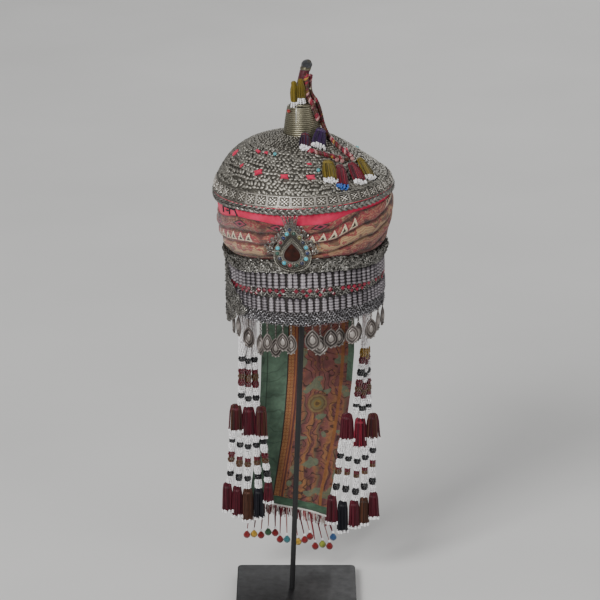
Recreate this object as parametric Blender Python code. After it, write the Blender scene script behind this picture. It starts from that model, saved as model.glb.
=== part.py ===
"""A bridal headdress on a plain stand: a silver-plated cap with its wrappings, drops and hangings.

Lengths are in millimetres and are scaled to metres where a mesh is made. The viewer's right is +X, the
front is -Y and the stand's foot is at the origin. Pieces of the cap are drawn in the cap's own frame, whose
origin is the middle of the head opening, and an empty rolls that frame a little to the viewer's left.
"""

import math

import bmesh
import bpy
import numpy as np
from mathutils import Matrix, Vector

MM = 0.001
GAP = 0.3

# The cap's place on the stand
CAP_SEAT = Vector((14.0, 0.0, 388.0))
CAP_ROLL = math.radians(2.2)
CAP_MATRIX = Matrix.Translation(CAP_SEAT) @ Matrix.Rotation(-CAP_ROLL, 4, "Y")

# The crown: its rim radius, rim height and apex height, and how far it slumps to the viewer's right
CROWN_RADIUS = 105.8
CROWN_RIM = 156.0
CROWN_APEX = 219.0
CROWN_POWER = 1.75
CROWN_FULLNESS = 0.72
CROWN_SLUMP = 6.75
PLATE_THICK = 1.6
CLOTH_THICK = 2.2

# The cap wall, outside: height and radius, from the head opening to the rim
CAP_WALL = ((5.0, 87.6), (66.0, 89.0), (90.0, 94.0), (131.0, 103.4), (141.5, 104.4))
COLUMNS = 32

# The forehead band, as heights of each row
HEM_ROW = (4.0, 20.0)
TUBE_ROW_LOWER = (20.3, 37.7)
BEAD_ROW = (38.0, 49.7)
TUBE_ROW_UPPER = (50.0, 69.6)
BAND_RADIUS = 94.4
BAND_SAG = 6.0

# The stand
BASE_SIDE = 150.0
BASE_THICK = 12.0
POST_RADIUS = 3.3
POST_FOOT = Vector((-5.5, 0.0, BASE_THICK + GAP))
TOP_RADIUS = 30.0
TOP_THICK = 9.0
TOP_MIDDLE = 8.0

FINISHES = {
    "tarnished_silver": (0.30, 0.29, 0.26, 0.42, 0.9),
    "pale_silver": (0.48, 0.46, 0.42, 0.36, 0.9),
    "pink_cloth": (0.62, 0.08, 0.13, 0.9, 0.0),
    "printed_cotton": (0.42, 0.20, 0.14, 0.9, 0.0),
    "red_glass": (0.35, 0.02, 0.05, 0.2, 0.0),
    "brown_stone": (0.05, 0.012, 0.006, 0.15, 0.0),
    "maroon_silk": (0.12, 0.006, 0.02, 0.75, 0.0),
    "purple_silk": (0.05, 0.015, 0.09, 0.75, 0.0),
    "ochre_silk": (0.30, 0.19, 0.03, 0.75, 0.0),
    "red_wool": (0.30, 0.08, 0.06, 0.9, 0.0),
    "seed_beads": (0.75, 0.76, 0.80, 0.3, 0.0),
    "embroidered_cloth": (0.25, 0.09, 0.05, 0.9, 0.0),
    "green_cloth": (0.10, 0.17, 0.11, 0.9, 0.0),
    "black_paint": (0.012, 0.012, 0.013, 0.45, 0.0),
}


def clear_scene():
    for obj in list(bpy.data.objects):
        bpy.data.objects.remove(obj)


def make_finish(name):
    red, green, blue, roughness, metallic = FINISHES[name]
    material = bpy.data.materials.get(name)
    if material is None:
        material = bpy.data.materials.new(name)
        material.use_nodes = True
        shader = material.node_tree.nodes["Principled BSDF"]
        shader.inputs["Base Color"].default_value = (red, green, blue, 1.0)
        shader.inputs["Roughness"].default_value = roughness
        shader.inputs["Metallic"].default_value = metallic
    return material


def finish_object(obj, finish, cap=None):
    """Gives the object its material and shading, and hangs it on the cap's empty when it has one."""
    obj.data.materials.clear()
    obj.data.materials.append(make_finish(finish))
    if obj.type == "MESH":
        obj.data.shade_smooth()
        obj.data.set_sharp_from_angle(angle=math.radians(40))
    obj.parent = cap
    return obj


def mesh_object(name, bm):
    """Turns a bmesh drawn in millimetres into an object in metres, with its faces pointing out."""
    bmesh.ops.recalc_face_normals(bm, faces=bm.faces)
    bmesh.ops.scale(bm, vec=(MM, MM, MM), verts=bm.verts)
    mesh = bpy.data.meshes.new(name)
    bm.to_mesh(mesh)
    bm.free()
    obj = bpy.data.objects.new(name, mesh)
    bpy.context.scene.collection.objects.link(obj)
    return obj


def fuse(name, parts):
    """Joins overlapping objects into one body."""
    body = parts[0]
    if len(parts) > 1:
        helpers = bpy.data.collections.new(name + "_parts")
        bpy.context.scene.collection.children.link(helpers)
        for part in parts[1:]:
            bpy.context.scene.collection.objects.unlink(part)
            helpers.objects.link(part)
        union = body.modifiers.new("Union", "BOOLEAN")
        union.operation = "UNION"
        union.operand_type = "COLLECTION"
        union.solver = "EXACT"
        union.collection = helpers
        graph = bpy.context.evaluated_depsgraph_get()
        mesh = bpy.data.meshes.new_from_object(body.evaluated_get(graph))
        body.modifiers.clear()
        body.data = mesh
        for part in parts[1:]:
            bpy.data.objects.remove(part)
        bpy.data.collections.remove(helpers)
    body.name = name
    body.data.name = name
    return body


def add_loft(bm, rings):
    """Skins rings of equal point count and closes both ends."""
    rows = [[bm.verts.new(point) for point in ring] for ring in rings]
    count = len(rows[0])
    for low, high in zip(rows, rows[1:]):
        for i in range(count):
            j = (i + 1) % count
            bm.faces.new((low[i], low[j], high[j], high[i]))
    bm.faces.new(rows[0])
    bm.faces.new(rows[-1])


def loft(name, rings):
    bm = bmesh.new()
    add_loft(bm, rings)
    return mesh_object(name, bm)


def oval(middle, across, along, half_wide, half_deep, sides):
    """A ring of points round a middle, in the plane of two directions."""
    points = []
    for i in range(sides):
        turn = 2 * math.pi * (i + 0.5) / sides
        offset = across * (half_wide * math.cos(turn)) + along * (half_deep * math.sin(turn))
        points.append(Vector(middle) + offset)
    return points


def turned(name, rows, columns, place, poles=False):
    """One body turned round the cap's axis: a ring, or with poles a shell whose first and last rows meet on it."""
    bm = bmesh.new()
    grid = []
    for number, row in enumerate(rows):
        turns = 1 if poles and number in (0, len(rows) - 1) else columns
        grid.append([bm.verts.new(place(row, 2 * math.pi * i / columns)) for i in range(turns)])
    pairs = list(zip(grid, grid[1:]))
    if not poles:
        pairs.append((grid[-1], grid[0]))
    for low, high in pairs:
        for i in range(columns):
            j = (i + 1) % columns
            if len(low) == 1:
                bm.faces.new((low[0], high[j], high[i]))
            elif len(high) == 1:
                bm.faces.new((low[i], low[j], high[0]))
            else:
                bm.faces.new((low[i], low[j], high[j], high[i]))
    return mesh_object(name, bm)


def polar(radius, angle, height):
    return Vector((radius * math.sin(angle), -radius * math.cos(angle), height))


def smooth_step(value):
    value = min(max(value, 0.0), 1.0)
    return value * value * (3 - 2 * value)


def crown_height(x, y, inset=0.0):
    """The crown's height over a point of the plan, for the outer surface or one that lies inside it."""
    share = min(math.hypot(x, y) / (CROWN_RADIUS - inset), 1.0)
    rise = (CROWN_APEX - inset - CROWN_RIM) * (1 - share**CROWN_POWER) ** CROWN_FULLNESS
    slump = CROWN_SLUMP * 4 * (x / CROWN_RADIUS) * share * (1 - share**3)
    return CROWN_RIM + rise - slump


def crown_normal(x, y):
    step = 0.5
    slope_x = (crown_height(x + step, y) - crown_height(x - step, y)) / (2 * step)
    slope_y = (crown_height(x, y + step) - crown_height(x, y - step)) / (2 * step)
    return Vector((-slope_x, -slope_y, 1.0)).normalized()


def over_crown(x, y, lift):
    """A point at a distance off the crown's outer surface."""
    return Vector((x, y, crown_height(x, y))) + crown_normal(x, y) * lift


def settled(height, angle):
    """The upper rows of the band and what lies on them sink towards the temples."""
    loose = min(max((height - 36.0) / 16.0, 0.0), 1.0)
    return height - BAND_SAG * loose * smooth_step((abs(math.remainder(angle, 2 * math.pi)) - 0.26) / 0.8)


def crown_rows(inset, radii):
    return [(radius, None, inset) for radius in radii]


def place_on_crown(row, angle):
    """Places a row of the crown: radius, height or None for the crown's own height, and inset."""
    radius, height, inset = row
    point = polar(radius, angle, 0.0)
    point.z = crown_height(point.x, point.y, inset) if height is None else height
    return point


def wall_radius(height):
    heights = [row[0] for row in CAP_WALL]
    radii = [row[1] for row in CAP_WALL]
    return float(np.interp(height, heights, radii))


def make_cap_cloth(cap):
    inset = PLATE_THICK + GAP
    inner = inset + CLOTH_THICK
    rim = CROWN_RADIUS
    rows = crown_rows(inner, (0.0, 45.0, 84.0, rim - inner))
    rows += [(wall_radius(height) - CLOTH_THICK, height, 0.0) for height in (66.0, CAP_WALL[0][0])]
    rows += [(radius, height, 0.0) for height, radius in CAP_WALL]
    rows += [(rim - inset - 0.1, CROWN_RIM - 3.0, 0.0), (rim - inset - 0.1, CROWN_RIM - 0.3, 0.0)]
    rows += crown_rows(inset, (99.0, 84.0, 60.0, 30.0, 0.0))
    return finish_object(turned("cap_cloth", rows, COLUMNS, place_on_crown, poles=True), "pink_cloth", cap)


def make_dome_plates(cap):
    """The plate shell. Every second ring of plates lies a little lower than its neighbours."""
    rim = CROWN_RADIUS
    rows = crown_rows(0.0, (0.0, 28.0))
    for number, radius in enumerate((48.0, 66.0, 82.0, 94.0)):
        rows += crown_rows(0.5 * (number % 2), (radius,))
    rows += crown_rows(0.0, (102.0, rim))
    rows += [(rim, CROWN_RIM - 2.0, 0.0), (rim - PLATE_THICK, CROWN_RIM - 2.0, 0.0)]
    rows += crown_rows(PLATE_THICK, (rim - PLATE_THICK, 99.0, 84.0, 60.0, 30.0, 0.0))
    return finish_object(turned("dome_plates", rows, COLUMNS, place_on_crown, poles=True), "tarnished_silver", cap)


def make_rim_band(cap):
    inner, outer = -GAP - 0.1, -GAP - 1.3
    rows = [(CROWN_RADIUS - inner, CROWN_RIM - 1.7, 0.0)]
    rows += crown_rows(inner, (CROWN_RADIUS - inner, 102.0))
    rows += crown_rows(outer, (102.2, CROWN_RADIUS - outer))
    rows += [(CROWN_RADIUS - outer, CROWN_RIM - 1.7, 0.0)]
    return finish_object(turned("rim_band", rows, COLUMNS, place_on_crown), "pale_silver", cap)


def make_rim_edge(cap):
    inner = 104.9
    rows = [(inner, 144.2, 0.0), (inner, 152.6, 0.0), (107.6, 151.8, 0.0), (107.9, 145.4, 0.0)]
    return finish_object(turned("rim_edge", rows, COLUMNS, place_on_crown), "tarnished_silver", cap)


# Folds of the scarf: share of its height and distance off the cap wall
SCARF_FOLDS = ((0.0, 2.4), (0.08, 5.0), (0.22, 3.6), (0.36, 5.6), (0.52, 3.4), (0.66, 4.6), (0.84, 2.6), (1.0, 1.5))


def place_scarf(row, angle):
    """The scarf's edges: low over the band all round, high at the viewer's right and sunk at the far left.

    A row is a share of the height between them, or over 1 a height of its own where the cap wall bends.
    """
    share, off = row
    side = math.sin(angle)
    low = settled(87.2, angle)
    high = 131.0 + 9.0 * smooth_step((side - 0.2) / 0.4) - 12.0 * smooth_step((-side - 0.7) / 0.3)
    height = low + (high - low) * share if share <= 1 else min(share, high - 2.0)
    return polar(wall_radius(height) + off, angle, height)


def make_scarf_wrap(cap):
    inner = [(share, GAP + 0.2) for share in (0.0, 90.0, 131.0, 1.0)]
    return finish_object(
        turned("scarf_wrap", inner + list(reversed(SCARF_FOLDS)), COLUMNS, place_scarf), "printed_cotton", cap
    )


def place_roll(row, angle):
    """The mail bundle: a fat twisted ring that leans on the cap wall above the band."""
    height, off = row
    swell = 0.5 * math.sin(9 * angle) * (off > 1.0)
    height = settled(height, angle)
    return polar(wall_radius(height) + off + swell, angle, height)


def make_mail_roll(cap):
    rows = ((70.8, GAP + 0.2), (86.2, GAP + 0.2), (86.8, 2.6), (82.0, 5.2), (75.5, 6.6), (70.4, 4.8))
    return finish_object(turned("mail_roll", rows, COLUMNS, place_roll), "tarnished_silver", cap)


def make_band_row(name, span, lobes, depth, outer, finish, cap):
    """A ring of upright tubes or beads side by side: the outer face is scalloped, one hollow between two."""
    low, high = span
    inner = wall_radius(high) + GAP

    def place(row, angle):
        radius, height, scalloped = row
        number = round(angle / (2 * math.pi) * lobes * 2)
        return polar(radius - depth * scalloped * (number % 2), angle, settled(height, angle))

    rows = ((inner, low, 0), (inner, high, 0), (outer, high, 1), (outer, low, 1))
    return finish_object(turned(name, rows, lobes * 2, place), finish, cap)


def make_mail_hem(cap):
    low, high = HEM_ROW
    inner = wall_radius(high) + GAP
    outer = BAND_RADIUS - 0.6
    rows = ((inner, low, 0.0), (inner, high, 0.0), (outer, high, 0.0), (outer, low, 0.0))
    return finish_object(turned("mail_hem", rows, COLUMNS, place_on_crown), "pale_silver", cap)


def make_side_mail_drape(cap):
    """A loose flap of mail over the viewer's left of the band, whose foot hangs below it towards the back."""
    rings = []
    back = BAND_RADIUS + 0.4
    for degrees in (-106, -98, -90, -82, -74, -66, -58, -50):
        foot = 15.0 - 32.0 * min(1.0, (-degrees - 48) / 42)
        swell = 1.0 + 1.2 * math.sin(math.radians(degrees * 3))
        profile = (
            (back, 61.0),
            (back, foot),
            (back + 1.2, foot - 1.5),
            (back + 1.2 + swell, foot + 6.0),
            (back + 1.6, 36.0),
            (back + 1.3, 60.0),
        )
        rings.append([polar(radius, math.radians(degrees), height) for radius, height in profile])
    return finish_object(loft("side_mail_drape", rings), "tarnished_silver", cap)


# The teardrop ornament on the forehead
SETTING_WIDE, SETTING_HIGH, SETTING_THICK = 45.0, 57.0, 2.2
STONE_WIDE, STONE_HIGH = 18.0, 22.0
RIM_STONES = 16
RIM_STONE_RADIUS = 2.7
SETTING_ANGLE = math.radians(-8.1)
SETTING_MIDDLE = (103.4, 102.5)
SETTING_LEAN = math.radians(6.6)


def pear(wide, high, count, middle=0.0):
    """The teardrop's outline, point up, as (x, z) spaced evenly along it."""
    fine = []
    for i in range(241):
        turn = 2 * math.pi * i / 240
        fine.append((wide / 2 * math.sin(turn) * math.sin(turn / 2) / 0.77, middle + high / 2 * math.cos(turn)))
    fine = np.array(fine)
    along = np.concatenate(([0.0], np.cumsum(np.hypot(*np.diff(fine, axis=0).T))))
    marks = along[-1] * np.arange(count) / count
    return list(zip(np.interp(marks, along, fine[:, 0]), np.interp(marks, along, fine[:, 1])))


def pear_ring(wide, high, out, count, middle=0.0):
    return [Vector((x, -out, z)) for x, z in pear(wide, high, count, middle)]


def setting_matrix():
    """Lays the ornament against the cap wall: turned to its side of the forehead and leaning with the wall."""
    radius, height = SETTING_MIDDLE
    place = Matrix.Translation(polar(radius, SETTING_ANGLE, height) * MM)
    return place @ Matrix.Rotation(SETTING_ANGLE, 4, "Z") @ Matrix.Rotation(SETTING_LEAN, 4, "X")


def make_forehead_setting(cap):
    count = 20
    drop = -3.0
    plate = loft(
        "forehead_setting",
        [
            pear_ring(SETTING_WIDE, SETTING_HIGH, 0.0, count),
            pear_ring(SETTING_WIDE, SETTING_HIGH, SETTING_THICK - 0.6, count),
            pear_ring(SETTING_WIDE - 1.6, SETTING_HIGH - 2.0, SETTING_THICK, count),
        ],
    )
    seat = SETTING_THICK + 0.4
    wall_top = seat + 1.8
    bezel_sizes = ((4.4, 0.8), (3.6, wall_top), (0.8, wall_top), (0.8, seat))
    bezel = loft(
        "bezel",
        [pear_ring(STONE_WIDE + grow, STONE_HIGH + grow, out, count, drop) for grow, out in bezel_sizes],
    )
    parts = [plate, bezel]
    for x, z in pear(SETTING_WIDE - 9.5, SETTING_HIGH - 15.0, RIM_STONES):
        sizes = ((0.8, 1.0), (SETTING_THICK + 1.8, 0.8))
        across, up = Vector((1.0, 0.0, 0.0)), Vector((0.0, 0.0, 1.0))
        rings = [
            oval((x, -out, z), across, up, RIM_STONE_RADIUS * share, RIM_STONE_RADIUS * share, 6)
            for out, share in sizes
        ]
        parts.append(loft("rim_stone", rings))
    setting = fuse("forehead_setting", parts)
    setting.data.transform(setting_matrix())
    return finish_object(setting, "pale_silver", cap)


def make_forehead_stone(cap):
    """The pear-shaped brown stone: a girdle, a ring of facets and a flat table."""
    drop = -3.0
    seat = SETTING_THICK + 0.4 + GAP
    sizes = ((0.0, seat), (0.0, seat + 1.4), (-6.5, seat + 3.0))
    rings = [pear_ring(STONE_WIDE + grow, STONE_HIGH + grow, out, 12, drop) for grow, out in sizes]
    stone = loft("forehead_stone", rings)
    stone.data.transform(setting_matrix())
    return finish_object(stone, "brown_stone", cap)


# The drops: angle round the band, ring radius, chain length, leaf width, leaf height and turn of the leaf
DROPS = (
    (-82.0, 90.6, 9.0, 15.0, 24.0, 4.0),
    (-67.3, 90.6, 5.0, 16.0, 25.0, -4.0),
    (-50.5, 92.0, 11.0, 16.5, 26.0, 8.0),
    (-38.0, 92.0, 15.0, 15.0, 27.0, -20.0),
    (-31.2, 93.2, 12.0, 11.0, 24.0, 38.0),
    (-25.4, 89.2, 18.0, 13.0, 25.0, 10.0),
    (-18.6, 93.2, 9.0, 15.5, 24.0, -8.0),
    (-13.0, 89.2, 12.0, 13.0, 26.0, 24.0),
    (3.4, 93.2, 5.0, 17.0, 27.0, -10.0),
    (9.4, 89.2, 14.0, 18.0, 26.0, 9.0),
    (17.2, 93.2, 6.0, 16.0, 25.0, -14.0),
    (24.6, 89.2, 8.0, 17.0, 24.0, 10.0),
    (34.8, 93.2, 6.0, 17.0, 25.0, -9.0),
    (42.6, 89.2, 7.0, 15.0, 24.0, 14.0),
    (54.6, 93.2, 7.0, 17.0, 26.0, -12.0),
    (67.5, 91.6, 4.0, 16.0, 25.0, 6.0),
    (82.0, 91.5, 6.0, 15.0, 24.0, -8.0),
)


def make_drop(number, angle, ring, chain, wide, high, turn):
    """A short chain and its domed leaf as one upright body, hung just under the mail's lower edge."""
    sections = (
        (0.0, 1.1, 1.1),
        (-chain, 1.1, 1.1),
        (-chain - 0.22 * high, 0.34 * wide, 1.4),
        (-chain - 0.60 * high, 0.50 * wide, 1.9),
        (-chain - high, 0.8, 0.6),
    )
    across, deep = Vector((1.0, 0.0, 0.0)), Vector((0.0, 1.0, 0.0))
    rings = [oval((0.0, 0.0, z), across, deep, half, thick, 6) for z, half, thick in sections]
    drop = finish_object(loft(f"drop_{number:02d}", rings), "tarnished_silver")
    azimuth = math.radians(angle)
    hook = CAP_MATRIX @ polar(ring, azimuth, HEM_ROW[0] - GAP)
    drop.location = hook * MM
    drop.rotation_euler = (0.0, 0.0, azimuth + math.radians(turn))
    return drop


# The finial: cone radii by height above the crown, and the spike's run as x, height and radius
FINIAL_X = 2.0
CONE = ((0.0, 21.6), (5.0, 20.4), (5.4, 21.2), (11.0, 19.4), (11.4, 20.2), (18.0, 17.8), (18.4, 18.6), (27.0, 15.4))
CONE_TOP = 250.0
SPIKE = (
    (3.4, 250.3, 9.5),
    (3.1, 262.0, 7.2),
    (3.8, 276.0, 5.8),
    (6.6, 289.0, 5.2),
    (8.2, 293.0, 5.6),
    (9.6, 298.3, 6.7),
    (10.7, 302.6, 4.8),
    (11.2, 304.6, 1.6),
)


def make_finial_cone(cap):
    bm = bmesh.new()
    sides = 14
    rings = []
    for rise, radius in ((0.0, 6.0),) + CONE:
        ring = []
        for i in range(sides):
            point = polar(radius, 2 * math.pi * i / sides, 0.0) + Vector((FINIAL_X, 0.0, 0.0))
            foot = crown_height(point.x, point.y) + GAP + 0.25
            point.z = foot + (CONE_TOP - foot) * rise / CONE[-1][0]
            ring.append(point)
        rings.append(ring)
    add_loft(bm, rings)
    return finish_object(mesh_object("finial_cone", bm), "tarnished_silver", cap)


def make_finial_spike(cap):
    across, deep = Vector((1.0, 0.0, 0.0)), Vector((0.0, 1.0, 0.0))
    rings = [oval((x, 0.0, z), across, deep, radius, radius, 10) for x, z, radius in SPIKE]
    return finish_object(loft("finial_spike", rings), "tarnished_silver", cap)


# Braids of wool: their radius, and each one's run down the finial (height, angle, distance off the spike or
# cone) and then over the crown (x, y). The run goes through these points on one smooth curve.
BRAID_RADIUS = 2.4
BRAIDS = {
    "braid_short": (
        ((288.0, 20, 5.2), (280.0, 26, 5.7), (270.0, 34, 6.4), (260.5, 42, 8.2), (254.5, 46, 12.9), (249.0, 49, 16.4)),
        ((242.0, 52, 18.6), (234.0, 55, 20.4)),
        (),
    ),
    "braid_long": (
        ((286.0, 86, 5.4), (276.0, 88, 5.9), (264.0, 90, 7.4), (255.0, 91, 12.7), (249.0, 90, 16.4)),
        ((242.0, 88, 18.4), (233.0, 84, 20.4), (225.5, 80, 22.4)),
        ((30.5, -9.5), (35.5, -18.0), (42.0, -25.5), (49.5, -30.5), (57.0, -33.5)),
    ),
    "braid_cross": (
        (),
        (),
        ((45.5, -46.0), (39.0, -49.0), (31.5, -50.8), (23.5, -51.2), (15.5, -51.0), (8.0, -50.0)),
    ),
}


def finial_middle(height):
    """The finial's axis at a height: the cone stands on FINIAL_X and the spike leans over it."""
    heights = [CROWN_APEX] + [row[1] for row in SPIKE]
    places = [FINIAL_X] + [row[0] for row in SPIKE]
    return float(np.interp(height, heights, places))


def braid_points(name):
    upper, lower, crown = BRAIDS[name]
    points = []
    for height, degrees, off in upper + lower:
        point = polar(off + BRAID_RADIUS + GAP, math.radians(degrees), height)
        points.append(point + Vector((finial_middle(height), 0.0, 0.0)))
    points += [over_crown(x, y, BRAID_RADIUS + GAP + 0.5) for x, y in crown]
    return points


def smooth_run(points, pitch):
    """Points at even distances along a smooth curve through the given ones."""
    ends = [points[0] * 2 - points[1]] + points + [points[-1] * 2 - points[-2]]
    fine = []
    for before, start, stop, after in zip(ends, ends[1:], ends[2:], ends[3:]):
        for i in range(12):
            t = i / 12
            bend = (before * 2 - start * 5 + stop * 4 - after) * t * t
            curl = (start * 3 - before - stop * 3 + after) * t**3
            fine.append((start * 2 + (stop - before) * t + bend + curl) / 2)
    fine.append(points[-1])
    fine = np.array(fine)
    along = np.concatenate(([0.0], np.cumsum(np.linalg.norm(np.diff(fine, axis=0), axis=1))))
    marks = np.linspace(0.0, along[-1], max(4, round(along[-1] / pitch)))
    return [Vector([np.interp(mark, along, fine[:, axis]) for axis in range(3)]) for mark in marks]


def make_braid(name, cap):
    run = smooth_run(braid_points(name), BRAID_RADIUS * 2 * 2.2)
    curve = bpy.data.curves.new(name, "CURVE")
    curve.dimensions = "3D"
    curve.bevel_depth = BRAID_RADIUS * MM
    curve.bevel_resolution = 2
    curve.use_fill_caps = True
    spline = curve.splines.new("POLY")
    spline.points.add(len(run) - 1)
    for point, place in zip(spline.points, run):
        point.co = (*(place * MM), 1.0)
    braid = bpy.data.objects.new(name, curve)
    bpy.context.scene.collection.objects.link(braid)
    return finish_object(braid, "red_wool", cap)


# Tassels on the crown: head and foot of each in plan, head lift, width, thickness and finish
CROWN_TASSELS = (
    ("tassel_purple", (21.0, -17.0), (18.6, -38.5), 9.0, 15.0, 8.0, "purple_silk"),
    ("tassel_maroon_high", (4.5, -24.5), (3.6, -46.0), 4.0, 10.5, 7.5, "maroon_silk"),
    ("tassel_ochre_left", (29.5, -59.0), (32.6, -82.0), 0.0, 17.0, 8.0, "ochre_silk"),
    ("tassel_maroon_left", (45.0, -57.5), (48.6, -82.0), 0.0, 12.0, 8.0, "maroon_silk"),
    ("tassel_maroon_right", (56.8, -46.0), (64.8, -68.0), 0.0, 13.0, 8.0, "maroon_silk"),
    ("tassel_ochre_right", (66.5, -27.0), (77.5, -51.0), 0.0, 12.0, 8.0, "ochre_silk"),
)


def make_crown_tassel(name, head, foot, head_lift, wide, thick, finish, cap):
    """A plump tassel lying on the crown: knot, waist and skirt, with the skirt's locks as shallow flutes."""
    sides = 8
    outline = ((0.0, 0.32), (0.12, 0.42), (0.24, 0.38), (0.70, 0.50), (1.0, 0.44))
    rings = []
    run = Vector((foot[0] - head[0], foot[1] - head[1]))
    for share, half in outline:
        x, y = head[0] + run.x * share, head[1] + run.y * share
        normal = crown_normal(x, y)
        deep = thick * half
        middle = over_crown(x, y, deep + head_lift * (1 - share) ** 1.5)
        along = (Vector((run.x, run.y, 0.0)).normalized()).cross(normal).normalized()
        ring = oval(middle, along, normal, wide * half, deep, sides)
        if share > 0.3:
            ring = [middle + (point - middle) * (1.0 - 0.10 * (i % 2)) for i, point in enumerate(ring)]
        rings.append(ring)
    return finish_object(loft(name, rings), finish, cap)


def make_spike_tassels(cap):
    """The pair of ochre tassels hung at the front of the spike, fused side by side."""
    parts = []
    for x, y, top, foot, half in ((-6.2, -8.9, 281.0, 256.0, 4.9), (1.9, -11.2, 284.0, 261.0, 4.8)):
        across, deep = Vector((1.0, 0.0, 0.0)), Vector((0.0, 1.0, 0.0))
        sections = ((top, 0.35), (top - 3.0, 0.7), (top - 10.0, 0.95), (foot + 4.0, 1.0), (foot, 0.8))
        rings = [oval((x, y, z), across, deep, half * share, half * share * 0.75, 8) for z, share in sections]
        parts.append(loft("tassel", rings))
    return finish_object(fuse("tassels_ochre_spike", parts), "ochre_silk", cap)


# Side hangings. Strings: top x, y, z, foot x, y, z. Tassels: x, top z, foot z, half width.
LEFT_UPPER_STRINGS = (
    (-65.0, 19.5, 399.0, -68.4, 28.0, 247.5),
    (-61.4, 31.0, 399.0, -59.2, 30.0, 244.5),
    (-55.6, 42.5, 399.0, -49.6, 32.0, 244.5),
)
LEFT_UPPER_TASSELS = ((-75.0, 247.0, 212.0, 8.6), (-59.3, 244.0, 205.0, 8.6), (-44.0, 244.0, 204.0, 8.0))
LEFT_LOWER_STRINGS = (
    (-79.0, 29.0, 211.5, -83.0, 29.0, 143.0),
    (-69.6, 30.0, 204.5, -72.2, 30.0, 138.5),
    (-59.9, 30.0, 204.5, -61.2, 30.0, 135.5),
    (-50.6, 31.0, 203.5, -47.3, 31.0, 135.5),
    (-41.8, 31.0, 203.5, -35.6, 31.0, 143.5),
)
LEFT_LOWER_TASSELS = (
    (-86.4, 142.5, 105.0, 6.8),
    (-74.2, 138.0, 98.0, 7.0),
    (-61.0, 135.0, 92.0, 7.2),
    (-47.4, 135.0, 95.0, 7.2),
    (-35.0, 143.0, 117.0, 6.2),
)
RIGHT_UPPER_STRINGS = (
    (93.0, 19.5, 403.0, 72.6, 28.0, 235.5),
    (89.4, 31.0, 403.0, 81.2, 30.0, 229.5),
    (83.6, 42.5, 403.0, 90.0, 32.0, 235.5),
)
RIGHT_UPPER_TASSELS = ((63.0, 235.0, 200.0, 8.6), (79.4, 229.0, 190.0, 8.6), (95.0, 235.0, 202.0, 8.0))
RIGHT_LOWER_STRINGS = (
    (57.6, 29.0, 199.5, 48.6, 29.0, 126.5),
    (67.0, 30.0, 199.5, 60.6, 30.0, 118.5),
    (76.8, 30.0, 189.5, 73.6, 30.0, 119.5),
    (86.2, 31.0, 189.5, 84.6, 31.0, 123.5),
    (95.4, 31.0, 201.5, 95.0, 31.0, 130.5),
)
RIGHT_LOWER_TASSELS = (
    (44.6, 126.0, 89.0, 6.8),
    (58.0, 118.0, 77.0, 7.2),
    (72.2, 119.0, 83.0, 7.2),
    (84.6, 123.0, 87.0, 6.6),
    (96.4, 130.0, 96.0, 6.4),
)
STRING_RADIUS = 3.9
TASSEL_DEEP = 4.6


def make_strings(name, strings, tie):
    """Bead strings side by side as plain tubes, tied into one body by a flat band near their tops."""
    across, deep = Vector((1.0, 0.0, 0.0)), Vector((0.0, 1.0, 0.0))
    parts = []
    for top_x, top_y, top_z, foot_x, foot_y, foot_z in strings:
        top, foot = Vector((top_x, top_y, top_z)), Vector((foot_x, foot_y, foot_z))
        rings = [
            oval(top.lerp(foot, share), across, deep, STRING_RADIUS * size, STRING_RADIUS * size, 8)
            for share, size in ((0.0, 0.75), (1.0, 1.0))
        ]
        parts.append(loft("string", rings))
    ends = [Vector(row[:3]).lerp(Vector(row[3:]), (row[2] - tie) / (row[2] - row[5])) for row in strings]
    for start, stop in zip(ends, ends[1:]):
        side = (stop - start).normalized()
        up = Vector((0.0, 0.0, 1.0))
        thick = side.cross(up).normalized()
        rings = [oval(point, up, thick, 2.6, 1.8, 6) for point in (start, stop)]
        parts.append(loft("tie", rings))
    return finish_object(fuse(name, parts), "seed_beads")


def make_tassel_row(name, tassels, finish):
    """A row of flat tassels fused at their heads, each with its locks as flutes."""
    across, deep = Vector((1.0, 0.0, 0.0)), Vector((0.0, 1.0, 0.0))
    parts = []
    for number, (x, top, foot, half) in enumerate(tassels):
        middle_y = 30.0 + 0.7 * (number % 2)
        sections = ((top, 0.72, 0.8), (top - 6.0, 0.92, 1.0), (foot, 1.0, 0.85))
        rings = []
        for z, share, depth in sections:
            ring = oval((x, middle_y, z), across, deep, half * share * 1.08, TASSEL_DEEP * depth, 8)
            rings.append(ring)
        parts.append(loft("tassel", rings))
    return finish_object(fuse(name, parts), finish)


# The cloth tail: height, left edge, right edge and how much it still curves with the cap
PANEL_ROWS = (
    (398.0, -43.0, 70.0, 1.0),
    (372.0, -43.0, 72.0, 0.95),
    (340.0, -43.0, 72.0, 0.8),
    (304.0, -43.5, 72.0, 0.62),
    (265.0, -44.5, 69.5, 0.5),
    (225.0, -46.5, 65.0, 0.42),
    (185.0, -50.0, 59.5, 0.36),
    (145.0, -54.5, 50.0, 0.32),
    (110.0, -59.0, 43.0, 0.3),
    (0.0, -61.0, 39.5, 0.3),
)
PANEL_FOOT = (91.0, -0.262)
PANEL_THICK = 1.8
PANEL_COLUMNS = 10
PANEL_BACK = 71.0


def panel_foot(x):
    """The height of the panel's slanting lower edge."""
    return PANEL_FOOT[0] + PANEL_FOOT[1] * x


def panel_point(row, share):
    height, left, right, curve = row
    x = left + (right - left) * share
    if height == 0.0:
        height = panel_foot(x)
    axis = CAP_SEAT.x
    radius = 84.4 - PANEL_THICK
    round_y = math.sqrt(max(radius**2 - (x - axis) ** 2, 0.0))
    wave = 2.2 * math.sin(share * 2 * math.pi * 1.6 + 0.6) * (1 - curve)
    y = curve * round_y + (1 - curve) * PANEL_BACK + wave
    return Vector((x, y, height))


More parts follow.
